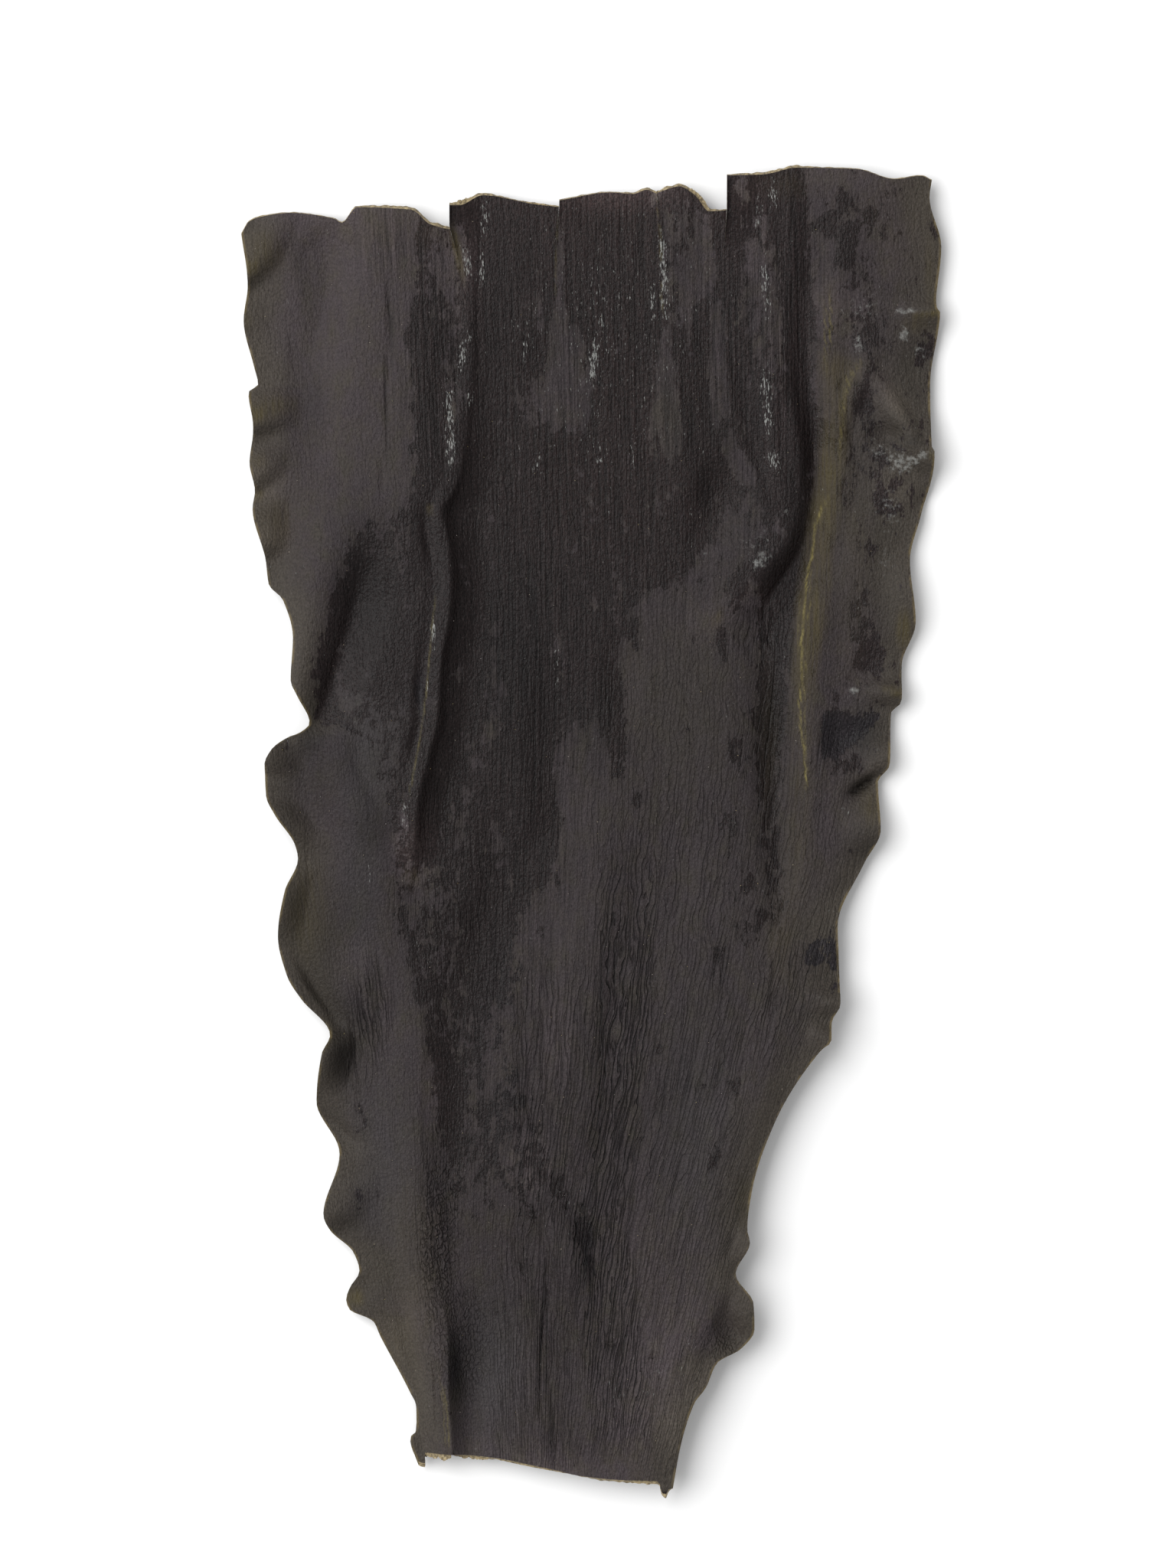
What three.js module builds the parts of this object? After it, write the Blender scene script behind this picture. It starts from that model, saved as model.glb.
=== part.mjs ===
// A dried kelp sheet: one leathery blade with frilled side margins, long folds, a torn top
// end and a broken base. Millimetres, +Z up, +Y towards the top end, lying as it rests.
//
// The blade is one closed solid. Its underside is a relief of folds, hollows and frills over
// the table, its upper side lies one blade thickness above that, and a rim joins the two
// along the margins, the ends and the lips of the tears. Both sides share one set of points,
// laid out in long columns that follow the margins and the two main fold lines.

import * as THREE from 'three';

// ---- driving dimensions ------------------------------------------------------------------

const REST_HEIGHT = 3.0;         // usual height of the underside above the table
const MARGIN_THICKNESS = 0.5;    // thin outer margin
const BLADE_THICKNESS = 1.3;     // thick middle of the blade
const BASE_THICKENING = 0.4;     // added towards the stalk end
const THICKENING_REACH = 14;     // how far in from a margin the blade becomes thick
const STEEPEST_FACTOR = 2.2;     // limit of the extra upright thickness on steep flanks
const TEAR_GAP = 0.4;            // open width of a tear between its two lips

const MARGIN_STEP = 2.5;         // spacing of the points along a margin
const SECOND_STEP = 3.2;         // ... one column in
const THIRD_STEP = 4.2;          // ... two columns in, and along the fold lines
const INNER_STEP = 5.5;          // ... everywhere else

const KELP_COLOUR = 0x39352f;    // very dark olive brown
const KELP_ROUGHNESS = 0.55;

// ---- outline -----------------------------------------------------------------------------

// Side margins as [y, x], one pair at each tip, notch or change of direction, top to bottom.
const LEFT_MARGIN = [
  [155.5, -91.3], [142.8, -89.6], [133, -90.7], [121, -88], [116.3, -86.9], [114.2, -89.4],
  [105.2, -88], [96, -89], [88.6, -87.6], [84, -88.2], [71, -84.9], [64, -84], [60, -80.3],
  [50, -77.6], [39, -78.2], [35, -76.5], [27.9, -73.3], [25.3, -76], [24.2, -79],
  [21, -83.2], [17, -85], [9, -84.7], [4, -82.3], [-4, -77.1], [-7.5, -76.4], [-16, -79.8],
  [-28, -81.6], [-38, -79.2], [-44, -75.5], [-53.5, -68], [-58, -70], [-71, -71.6],
  [-84.5, -65.6], [-100, -69.7], [-104.3, -68], [-110, -62], [-115, -60.4], [-119.5, -63],
  [-122.5, -63.9], [-125, -63], [-128, -56.8], [-132, -55], [-147, -47], [-150, -45.6],
  [-156.5, -45.5], [-158.5, -47.2], [-161, -46.8], [-164.5, -45],
];
const RIGHT_MARGIN = [
  [169.3, 88.8], [165, 88.2], [152, 91.3], [136.5, 89.9], [134.7, 90.9], [116, 88.4],
  [99.5, 88.7], [98.6, 89.4], [95, 89.3], [82, 86], [70, 83.1], [54, 84.6], [43, 81],
  [33.5, 80.9], [30.5, 78.2], [17, 77.8], [12.5, 74.8], [0, 75.4], [-9, 71], [-25, 64.2],
  [-34, 64.5], [-45.2, 64.8], [-50, 62.6], [-55, 62.4], [-57, 60], [-76, 47.8], [-94, 41.8],
  [-104, 40.6], [-107, 41.3], [-115.5, 37.6], [-123, 42.2], [-130, 42.5], [-135, 39],
  [-138.5, 32.8], [-145, 29.8], [-149, 26.8], [-160, 23.3], [-171, 21.3],
];

// The ends as [x, y]. The top end is in five pieces, one between each two tears.
const TOP_END = [
  [[-91.3, 155.5], [-89.3, 158.8], [-86.5, 160], [-78.3, 161], [-67, 159.4], [-65, 158.3],
    [-61, 162.3], [-46.8, 161.6], [-42, 157.9], [-36.9, 156.5]],
  [[-36.9, 162.7], [-34.5, 162.7], [-28.2, 165.5], [-15, 163.2], [-8.3, 162.4]],
  [[-8.3, 164.1], [5, 166.2], [11, 165.8], [14.5, 166.9], [17.2, 165.7]],
  [[17.2, 166.1], [23, 167.7], [27, 165.5], [30.8, 161.2], [35.3, 161.5]],
  [[35.3, 170.3], [45, 170.8], [54, 172.6], [69, 172.2], [79, 169.6], [86, 170.5],
    [88.8, 169.3]],
];
const BASE_END = [
  [-47.3, -160.5], [-45, -164.6], [-43.4, -165], [-42.7, -162.2], [-36, -162.5],
  [-27, -163.2], [-10, -166.3], [-3, -167.9], [7, -168.9], [17, -169.3], [17.8, -170],
  [18.4, -172.2], [19.4, -172.6], [20.2, -171.4], [21.4, -171],
];

// Tears down from the top end: path as [y, x] from the end of the tear up to the edge, how
// far the right lip stands above the left one, and how far that step reaches to the right.
const TEARS = [
  { path: [[142, -33.5], [147, -34.2], [157, -36.9]], step: 1.6, reach: 9 },
  { path: [[150, -9.2], [163, -8.3]], step: 0.5, reach: 8 },
  { path: [[152, 18.2], [166, 17.2]], step: -0.4, reach: 8 },
  { path: [[148, 34.5], [161.5, 35.3]], step: 1.8, reach: 10 },
];

// ---- relief ------------------------------------------------------------------------------

// Long folds. Each row is [y, x of the crest, height, width of the left flank, width of the
// right flank]; a negative height is a valley.
const FOLDS = {
  broadSwell: [
    [175, -50, 1.2, 26, 20], [140, -50, 2.2, 27, 20], [100, -50, 2.8, 28, 18],
    [84, -52, 2.2, 28, 18], [60, -54, 0, 28, 16]],
  leftValley: [
    [160, -67, 0, 6, 10], [150, -70.5, -1.7, 8, 14], [141, -73.6, -1.8, 7, 14],
    [132, -75, -1.4, 5, 14], [120, -75, -1, 6, 12], [105, -73, -0.8, 8, 12],
    [92, -70, 0, 8, 10]],
  mainFold: [
    [150, -30, 0, 20, 8], [125, -31.4, 0.7, 24, 9], [105, -32.6, 1.8, 28, 9.4],
    [95, -34, 2.6, 30, 9.6], [88, -36.2, 3.2, 34, 10], [83, -39.6, 3.6, 40, 11.5],
    [79, -38.2, 3.8, 44, 11], [71, -37.2, 4.2, 48, 10], [65, -37, 4.5, 50, 10],
    [55, -37.4, 4.6, 52, 10], [45, -39.4, 4.6, 52, 9.6], [35, -40, 4.4, 48, 9.4],
    [28, -40.6, 4.4, 44, 9.4], [20, -42.6, 4.4, 40, 9.4], [5, -45.8, 4, 26, 8.4],
    [-5, -46.4, 2.6, 14, 7], [-12, -47.6, 0.8, 11, 6], [-18, -48, 0, 10, 6]],
  leftRidge: [
    [104, -64, 0, 12, 14], [88, -66, 1, 13, 15], [75, -68, 2.2, 14, 15],
    [65, -71, 3.2, 13, 13], [55, -73, 3.6, 9, 12], [45, -75, 3.8, 6, 11],
    [35, -76.4, 3.4, 4, 9], [27, -77, 1.8, 4, 8], [20, -74, 0, 5, 8]],
  leftCrease: [
    [84, -59, 0, 12, 14], [74, -60.5, -0.8, 12, 14], [64, -61.6, -1.8, 12, 14],
    [54, -64, -2.3, 10, 14], [44, -67, -2.5, 9, 13], [34, -70, -2.2, 7, 12],
    [25, -72.4, 0, 6, 10]],
  leftFlank: [
    [34, -66, 0, 8, 6], [20, -66, 1.2, 9, 6], [5, -62, 1.8, 12, 8.5],
    [-15, -58, 1, 14, 12], [-30, -54, 0, 14, 12]],
  lowerLeftRoll: [
    [-20, -48, 0, 14, 10], [-40, -46, 1, 14, 10], [-55, -44.2, 1.6, 14, 8.5],
    [-75, -45, 1.8, 14, 10], [-95, -43, 2.4, 13, 8], [-113, -41.6, 1.6, 12, 9],
    [-124, -38.6, 3, 12, 9], [-135, -37.6, 5.6, 11, 8.4], [-145, -37.6, 5.8, 9, 7.6],
    [-155, -36.8, 4.6, 8.4, 6.4], [-166, -36.4, 3.4, 8, 5.4]],
  rimGroove: [
    [-29, -79, 0, 2.4, 6], [-36, -75, -0.8, 2.6, 7], [-42, -71.8, -1.2, 2.6, 7],
    [-49, -67, -1.1, 2.6, 6], [-55, -65, 0, 2.4, 5]],
  rightPlateau: [
    [174, 42, 0.3, 20, 9], [140, 43, 0.5, 24, 9], [110, 49, 0.7, 26, 6],
    [95, 52, 0.8, 28, 5], [78, 50, 0, 26, 6]],
  rightValley: [
    [174, 57, -0.4, 7, 16], [160, 57, -0.8, 6, 16], [150, 57.5, -1.1, 6, 16],
    [135, 56.2, -1.5, 6, 16], [120, 56.8, -2.2, 7, 18], [105, 58.4, -2.8, 6, 20],
    [95, 59, -3.2, 5.4, 20], [85, 59.2, -2.8, 6, 18], [75, 57.6, -3.6, 8, 16],
    [69, 55.5, -4.2, 11, 16], [65, 53.8, -4.4, 13, 16], [60, 51, -4.2, 14, 15],
    [55, 48.4, -3.4, 14, 14], [49, 46.8, -2.2, 11, 12], [40, 47.4, -1.6, 8, 12],
    [20, 48, -2, 8, 12], [5, 48.6, -1.6, 8, 12], [-15, 49, -1.6, 5.5, 12],
    [-30, 49.5, 0, 6, 10]],
  oliveRidge: [
    [160, 67, 0, 6, 5], [135, 63, 0.8, 6, 6], [120, 62, 0.6, 6, 5],
    [105, 64.3, 1.2, 6, 3.5], [95, 65, 1, 8, 5], [85, 63, 0.7, 6, 6],
    [75, 60.5, 0.8, 5, 6], [65, 58, 0.8, 4, 7], [45, 58, 0.8, 8, 8],
    [20, 57.5, 1, 8, 6], [5, 55, 0.5, 6, 6], [-15, 54, 0, 6, 6]],
  branchRidge: [
    [128, 74, 0, 5, 4], [120, 72, 0.8, 5, 3], [110, 67.5, 0.9, 5, 3], [100, 65, 0, 5, 3]],
  tongue: [
    [98, 48, 0, 16, 6], [85, 50, 0.4, 22, 5], [75, 49, 1.2, 24, 6], [68, 45, 1.6, 20, 8],
    [62, 41, 1.4, 16, 8], [50, 34, 0, 12, 8]],
  middleRidge: [
    [52, 30, 0, 14, 9], [20, 35, 1.2, 19, 10], [-20, 38, 1, 15, 8], [-40, 35, 0, 13, 9]],
  centreRib: [
    [168, 21.5, 0.3, 8, 7], [118, 22, 0.7, 10, 9], [100, 23, 0.7, 10, 8], [74, 25, 0, 9, 8]],
  diagonalValley: [
    [12, -22, 0, 9, 20], [-15, -24, -1.2, 10, 24], [-35, -31, -1.5, 11, 26],
    [-55, -33, -1.2, 9, 24], [-75, -34, -1, 8, 22], [-95, -36, 0, 8, 18]],
  innerValley: [
    [50, -10, 0, 9, 12], [35, -9, -1.1, 10, 14], [20, -10, -1.4, 10, 14],
    [5, -9, -1.4, 9, 14], [-10, -14, 0, 9, 12]],
  paleRib: [
    [10, 4, 0, 10, 8], [-15, 3, 1, 12, 10], [-35, 0, 2, 13, 8.5], [-55, -1.6, 2.6, 12, 7.6],
    [-75, -2.4, 2.2, 10, 7.6], [-92, -5, 0, 8, 7]],
  lowStep: [
    [-84, -17, 0, 9, 6], [-95, -12, 1.4, 9, 7], [-104, -8, 2.2, 9, 6.5],
    [-113, -5.2, 2.8, 9, 6], [-122, -3.5, 1.6, 8, 5], [-132, -1, 0, 8, 4]],
  rightLowRib: [
    [-40, 50, 0, 10, 8], [-70, 43, 0.8, 12, 8], [-100, 34, 0.8, 12, 6],
    [-118, 33.5, 1.2, 6, 4], [-135, 25.5, 1.4, 7, 5], [-156, 24, 0, 6, 4]],
};

// Folds with a crease instead of a round crest, and on which side of it they fall off sharply.
const CREASED = { rightValley: 1, mainFold: 1, lowerLeftRoll: 1, leftCrease: -1 };

// Round hollows (negative) and swells: centre x, y, radius along x, along y, height, turn in
// degrees. The last five are broad changes of the blade's height over the table.
const HOLLOWS = {
  blotHollow: [-13, 118, 8, 18, -0.6, 0],
  ribHollow: [34, 86, 10, 20, -1.6, -20],
  midHollow: [8, 38, 9, 15, -0.8, 0],
  lowHollow: [19, -76, 16, 26, -1, 0],
  stepHollow: [6, -108, 11, 17, -1.2, 0],
  baseHollow: [12, -134, 16, 24, -1.2, 0],
  rightPocketHigh: [78, 103, 8, 4, -1.6, 0],
  rightPocketMid: [72, 42, 7, 9, -1, 0],
  rightPocketLow: [66, 24, 9, 8, -1.8, 0],
  rightGroove: [71, 11.6, 8, 2.8, -3, 35],
  lobePocket: [36, -131, 6, 8, -2.2, 10],
  topLeftDip: [-84, 138, 30, 44, -3.2, 0],
  lowerRightLift: [48, -80, 60, 110, 6, -12],
  baseLift: [15, -172, 70, 60, 5, 0],
  topRightLift: [60, 180, 80, 50, 2, 0],
  leftLift: [-95, 20, 40, 120, 1.5, 0],
};

// Frills of a margin, each a ridge that runs in from the edge: y at the edge, half width above
// and below, lift at the very edge, reach inwards, and how fast its y rises on the way in.
const LEFT_FRILLS = [
  [144.5, 12, 4, 3, 16, 0.9], [133, 8, 5, 0.8, 8, 0], [106, 9, 4, 3.6, 14, 0.25],
  [91.5, 7, 3.5, 3.4, 11, 0.5], [75, 13, 5, 3.8, 10, 0.35], [19, 6, 5, 3.8, 10, -0.3],
  [12, 2.5, 2.5, 0.8, 12, 0], [3, 7, 9, 3.4, 9, 0], [-20, 13, 11, 3.2, 7, 0],
  [-42, 9, 8, 2.4, 6, 0], [-59, 8, 11, 6, 8, 0], [-78, 8, 8, -4.2, 9, 0],
  [-101, 9, 4.5, 3.4, 13, 0.3], [-121, 6, 6, -1.4, 9, 0], [-138, 12, 12, -2.4, 4, 0],
];
const RIGHT_FRILLS = [
  [135, 4, 4, 3, 13, 0], [124, 7, 7, -0.8, 10, 0], [97, 15, 5, 4, 13, 0.2],
  [86, 5, 5, -1.4, 5, 0], [61, 14, 14, 2.6, 9, 0], [35.5, 4, 3.5, 3.6, 14, 0.1],
  [19, 7, 6, 2.8, 8, 0], [1, 9, 8, 3, 12, -0.1], [-12, 10, 10, -1, 6, 0],
  [-36, 6, 6, -1.6, 8, 0], [-44.5, 3, 5, 3.4, 12, 0.1], [-54.5, 3, 4, 2.4, 8, 0.4],
  [-76, 24, 24, -0.6, 6, 0], [-108, 7, 7, 2.2, 5, 0], [-124, 9, 9, 2, 7, 0],
  [-150, 16, 16, 1, 6, 0],
];

// ---- columns -----------------------------------------------------------------------------

// The two main fold lines as [y, x]; the columns of points bend to follow them.
const FOLD_LINE = [
  [172, -24], [125, -29], [100, -33.5], [92, -37], [83, -41.4], [71, -38.8], [40, -41.2],
  [8, -45.6], [-40, -46], [-113, -42], [-130, -39.4], [-166, -41],
];
const VALLEY_LINE = [
  [174, 57], [150, 57.5], [135, 56.2], [120, 56.6], [95, 58], [85, 58.6], [75, 57.4],
  [69, 55.5], [60, 51], [55, 48.4], [49, 46.8], [5, 48.6], [-30, 48], [-100, 30], [-130, 22],
  [-172, 10],
];
// Strips of triangles in each of the three regions, and how much they crowd at its sides.
const REGIONS = [
  { strips: 10, crowding: 0.6 },
  { strips: 17, crowding: 0.4 },
  { strips: 8, crowding: 0.6 },
];

// ---- curves and bumps --------------------------------------------------------------------

// A smooth curve through [at, value] pairs that never swings past them.
function curveThrough(pairs) {
  const sorted = [...pairs].sort((a, b) => a[0] - b[0]);
  const slopes = sorted.slice(1).map(([at, value], i) =>
    (value - sorted[i][1]) / (at - sorted[i][0]));
  const tangents = sorted.map((_, i) => {
    const before = slopes[Math.max(i - 1, 0)];
    const after = slopes[Math.min(i, slopes.length - 1)];
    return before * after > 0 ? 2 * before * after / (before + after) : 0;
  });
  return (at) => {
    const last = sorted.length - 1;
    const q = THREE.MathUtils.clamp(at, sorted[0][0], sorted[last][0]);
    let i = 0;
    while (i < last - 1 && q > sorted[i + 1][0]) i += 1;
    const length = sorted[i + 1][0] - sorted[i][0];
    const t = (q - sorted[i][0]) / length;
    return sorted[i][1] * (1 + 2 * t) * (1 - t) ** 2
      + tangents[i] * length * t * (1 - t) ** 2
      + sorted[i + 1][1] * t * t * (3 - 2 * t)
      + tangents[i + 1] * length * t * t * (t - 1);
  };
}

// A round bump: 1 in the middle, 0 and level from 1 on.
function bump(t) {
  const inside = Math.max(0, 1 - t * t);
  return inside * inside;
}

const leftMargin = curveThrough(LEFT_MARGIN);
const rightMargin = curveThrough(RIGHT_MARGIN);
const baseEnd = curveThrough(BASE_END);
const topEnds = TOP_END.map(curveThrough);
const tears = TEARS.map((tear) => ({
  ...tear,
  x: curveThrough(tear.path),
  root: tear.path[0][0],
  mouth: tear.path[tear.path.length - 1][0],
}));

// The height of the top edge; the piece of the end is the one between the tears round x.
function topEnd(x, piece = TOP_END.findLastIndex((points) => x >= points[0][0])) {
  return topEnds[Math.max(piece, 0)](x);
}

const folds = Object.entries(FOLDS).map(([name, rows]) => {
  const column = (k) => curveThrough(rows.map((row) => [row[0], row[k]]));
  return {
    creasedSide: CREASED[name] ?? 0,
    upper: rows[0][0],
    lower: rows[rows.length - 1][0],
    crest: column(1),
    height: column(2),
    leftWidth: column(3),
    rightWidth: column(4),
  };
});

function foldHeight(fold, x, y) {
  if (y > fold.upper || y < fold.lower) return 0;
  const aside = x - fold.crest(y);
  const width = aside < 0 ? fold.leftWidth(y) : fold.rightWidth(y);
  const t = Math.min(Math.abs(aside) / width, 1);
  const creased = aside * fold.creasedSide > 0;
  return fold.height(y) * (creased ? (1 - t) ** 2 : bump(t));
}

function hollowHeight([cx, cy, radiusX, radiusY, height, turn], x, y) {
  const angle = THREE.MathUtils.degToRad(turn);
  const along = (x - cx) * Math.cos(angle) + (y - cy) * Math.sin(angle);
  const across = (y - cy) * Math.cos(angle) - (x - cx) * Math.sin(angle);
  return height * bump(Math.hypot(along / radiusX, across / radiusY));
}

function frillHeight(frills, inset, y) {
  return frills.reduce((sum, [edgeY, above, below, lift, reach, rise]) => {
    const aside = y - edgeY - rise * inset;
    return sum + lift * bump(aside / (aside > 0 ? above : below)) * bump(inset / reach);
  }, 0);
}

// The step at a tear: the right lip is raised, more and more towards the mouth.
function tearHeight(tear, x, y) {
  const aside = x - tear.x(y);
  if (aside < 0 || y < tear.root) return 0;
  const open = Math.min((y - tear.root) / (tear.mouth - tear.root), 1.3);
  return tear.step * open ** 1.5 * bump(aside / tear.reach);
}

// Height of the underside over the table. Where the relief would dip below the table it is
// pressed flat against it, and these flats are what the blade rests on.
function underside(x, y) {
  let z = REST_HEIGHT;
  for (const fold of folds) z += foldHeight(fold, x, y);
  for (const hollow of Object.values(HOLLOWS)) z += hollowHeight(hollow, x, y);
  for (const tear of tears) z += tearHeight(tear, x, y);
  z += frillHeight(LEFT_FRILLS, Math.max(x - leftMargin(y), 0), y);
  z += frillHeight(RIGHT_FRILLS, Math.max(rightMargin(y) - x, 0), y);
  return Math.max(z, 0);
}

// Thickness measured upright: the blade's own thickness, made up for on steep flanks.
function uprightThickness(x, y) {
  const inset = Math.max(Math.min(x - leftMargin(y), rightMargin(y) - x), 0);
  const fullness = 1 - bump(Math.min(inset / THICKENING_REACH, 1));
  const towardsBase = THREE.MathUtils.smoothstep(-y, 0, 170);
  const own = THREE.MathUtils.lerp(MARGIN_THICKNESS, BLADE_THICKNESS, fullness)
    + BASE_THICKENING * towardsBase;
  const reach = 0.5;
  const slopeX = (underside(x + reach, y) - underside(x - reach, y)) / (2 * reach);
  const slopeY = (underside(x, y + reach) - underside(x, y - reach)) / (2 * reach);
  return own * Math.min(Math.hypot(1, slopeX, slopeY), STEEPEST_FACTOR);
}

// ---- layout of the points ----------------------------------------------------------------

const guides = [leftMargin, curveThrough(FOLD_LINE), curveThrough(VALLEY_LINE), rightMargin];

// Every column as a region and a share of its width, eased so that columns crowd at guides.
const columns = REGIONS.flatMap(({ strips, crowding }, region) => {
  const first = region === 0 ? 0 : 1;
  return Array.from({ length: strips + 1 - first }, (_, k) => {
    const even = (k + first) / strips;
    return { region, share: even - crowding * Math.sin(2 * Math.PI * even) / (2 * Math.PI) };
  });
});
const lastColumn = columns.length - 1;
const guideColumns = [0, REGIONS[0].strips, REGIONS[0].strips + REGIONS[1].strips, lastColumn];

function plainColumnX({ region, share }, y) {
  return THREE.MathUtils.lerp(guides[region](y), guides[region + 1](y), share);
}

// Each tear takes over the column nearest to it.
for (const tear of tears) {
  const distance = (column) => Math.abs(plainColumnX(column, tear.mouth) - tear.x(tear.mouth));
  const nearest = columns.reduce((best, column) =>
    (distance(column) < distance(best) ? column : best));
  nearest.tear = tear;
}

const TEAR_FADE = 45;            // a tear's column bends back to its own place over this

function columnX(column, y) {
  const plain = plainColumnX(column, y);
  if (!column.tear) return plain;
  const { tear } = column;
  const hold = THREE.MathUtils.smoothstep(y, tear.root - TEAR_FADE, tear.root);
  return THREE.MathUtils.lerp(plain, tear.x(y), hold);
}

// Where a column meets an end: the end's height at the x that the column has there.
function meet(column, start, end) {
  let y = start;
  for (let round = 0; round < 4; round += 1) y = end(columnX(column, y));
  return y;
}

function evenSteps(from, to, step) {
  const count = Math.max(1, Math.round(Math.abs(to - from) / step));
  return Array.from({ length: count + 1 }, (_, k) => THREE.MathUtils.lerp(from, to, k / count));
}

// The rows of a margin: every tip and notch, with even steps between them.
function marginRows(pairs, upper, lower) {
  const clear = MARGIN_STEP / 5;
  const between = pairs.map(([y]) => y).filter((y) => y < upper - clear && y > lower + clear);
  const stops = [upper, ...between, lower];
  return stops.slice(1).reduce((rows, stop, i) =>
    rows.concat(evenSteps(stops[i], stop, MARGIN_STEP).slice(1)), [upper]);
}

function stepOf(index) {
  const fromMargin = Math.min(index, lastColumn - index);
  if (fromMargin === 1) return SECOND_STEP;
  if (fromMargin === 2 || guideColumns.includes(index)) return THIRD_STEP;
  return INNER_STEP;
}

// The shared points, and for each column the run of points along its left and right side,
// from the top down. The two runs differ only along a tear.
const points = [];
const addPoint = (x, y) => {
  const z = underside(x, y);
  points.push([x, y, z, z + uprightThickness(x, y)]);
  return points.length - 1;
};

const runs = columns.map((column, index) => {
  const lower = meet(column, -165, baseEnd);
  const pointsAt = (rows, shift) =>
    rows.map((y) => addPoint(columnX(column, y) + shift, y));
  if (!column.tear) {
    const upper = meet(column, 165, topEnd);
    const margin = { 0: LEFT_MARGIN, [lastColumn]: RIGHT_MARGIN }[index];
    const rows = margin
      ? marginRows(margin, upper, lower)
      : evenSteps(upper, lower, stepOf(index));
    const run = pointsAt(rows, 0);
    return { left: run, right: run };
  }
  const { tear } = column;
  const piece = tears.indexOf(tear);
  const x = tear.x(tear.mouth);
  const lip = (upper, side) =>
    pointsAt(evenSteps(upper, tear.root, THIRD_STEP).slice(0, -1), side * TEAR_GAP / 2);
  const shared = pointsAt(evenSteps(tear.root, lower, INNER_STEP), 0);
  return {
    left: [...lip(topEnd(x, piece), -1), ...shared],
    right: [...lip(topEnd(x, piece + 1), 1), ...shared],
  };
});

// ---- triangles ---------------------------------------------------------------------------

// Joins two neighbouring runs of points, always stepping on along the one that lags.
function joinRuns(left, right, faces) {
  let i = 0;
  let j = 0;
  const halfway = (run, k) => (points[run[k]][1] + points[run[k + 1]][1]) / 2;
  while (i < left.length - 1 || j < right.length - 1) {
    const leftNext = j === right.length - 1
      || (i < left.length - 1 && halfway(left, i) > halfway(right, j));
    if (leftNext) {
      faces.push([left[i], left[i + 1], right[j]]);
      i += 1;
    } else {
      faces.push([left[i], right[j + 1], right[j]]);
      j += 1;
    }
  }
}

const upperFaces = [];
for (let i = 0; i < lastColumn; i += 1) joinRuns(runs[i].right, runs[i + 1].left, upperFaces);

// The rim stands on every edge that only one upper face has.
function rimFaces(faces) {
  const edges = new Set(faces.flatMap(([a, b, c]) => [`${a},${b}`, `${b},${c}`, `${c},${a}`]));
  const below = points.length;
  return [...edges].flatMap((edge) => {
    const [a, b] = edge.split(',').map(Number);
    if (edges.has(`${b},${a}`)) return [];
    return [[b, a, a + below], [b, a + below, b + below]];
  });
}

const lowerFaces = upperFaces.map(([a, b, c]) => [c, b, a].map((k) => k + points.length));
const blade = new THREE.BufferGeometry();
blade.setAttribute('position', new THREE.Float32BufferAttribute([
  ...points.flatMap(([x, y, , upper]) => [x, y, upper]),
  ...points.flatMap(([x, y, lower]) => [x, y, lower]),
], 3));
blade.setIndex([...upperFaces, ...lowerFaces, ...rimFaces(upperFaces)].flat());

// The origin lies under the middle of the blade, on the table.
blade.computeBoundingBox();
const middle = blade.boundingBox.getCenter(new THREE.Vector3());
blade.translate(-middle.x, -middle.y, 0);
blade.computeVertexNormals();

// ---- the kelp sheet ----------------------------------------------------------------------

const kelpSheet = new THREE.Mesh(blade, new THREE.MeshStandardMaterial({
  color: KELP_COLOUR,
  roughness: KELP_ROUGHNESS,
  metalness: 0,
}));
kelpSheet.name = 'kelp_sheet';

const part = new THREE.Group();
part.add(kelpSheet);

export default part;
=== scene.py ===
# A dried kelp sheet, 183 mm wide and 345 mm long: one leathery blade with frilled margins,
# long folds, a torn top end and a broken base, lying on a pale table as it dried.
# Shapes are worked out in millimetres, +Y towards the top end, and made in metres.
import math

import bpy
import numpy as np
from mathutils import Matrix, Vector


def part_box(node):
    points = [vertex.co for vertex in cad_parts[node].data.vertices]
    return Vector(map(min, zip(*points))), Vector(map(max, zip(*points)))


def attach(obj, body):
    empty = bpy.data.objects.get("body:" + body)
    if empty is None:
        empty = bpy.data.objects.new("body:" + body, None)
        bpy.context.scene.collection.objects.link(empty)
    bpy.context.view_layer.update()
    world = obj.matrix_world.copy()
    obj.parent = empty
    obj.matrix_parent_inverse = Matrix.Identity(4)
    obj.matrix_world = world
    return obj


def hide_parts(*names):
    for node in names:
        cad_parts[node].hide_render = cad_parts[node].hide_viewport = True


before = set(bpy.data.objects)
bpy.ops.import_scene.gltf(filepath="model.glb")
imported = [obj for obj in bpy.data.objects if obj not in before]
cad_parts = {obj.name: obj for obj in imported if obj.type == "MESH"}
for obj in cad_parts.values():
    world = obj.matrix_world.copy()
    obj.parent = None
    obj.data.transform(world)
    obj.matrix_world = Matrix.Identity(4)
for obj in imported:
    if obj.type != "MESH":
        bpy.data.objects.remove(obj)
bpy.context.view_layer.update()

MM = 0.001


# ---- The blade's outline -----------------------------------------------------------------
# A broad frond of kelp, dried flat and then cut and torn across. Its side margins are grown
# edges, thin and frilled; the top end is torn in five pieces and the base is snapped off.

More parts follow.
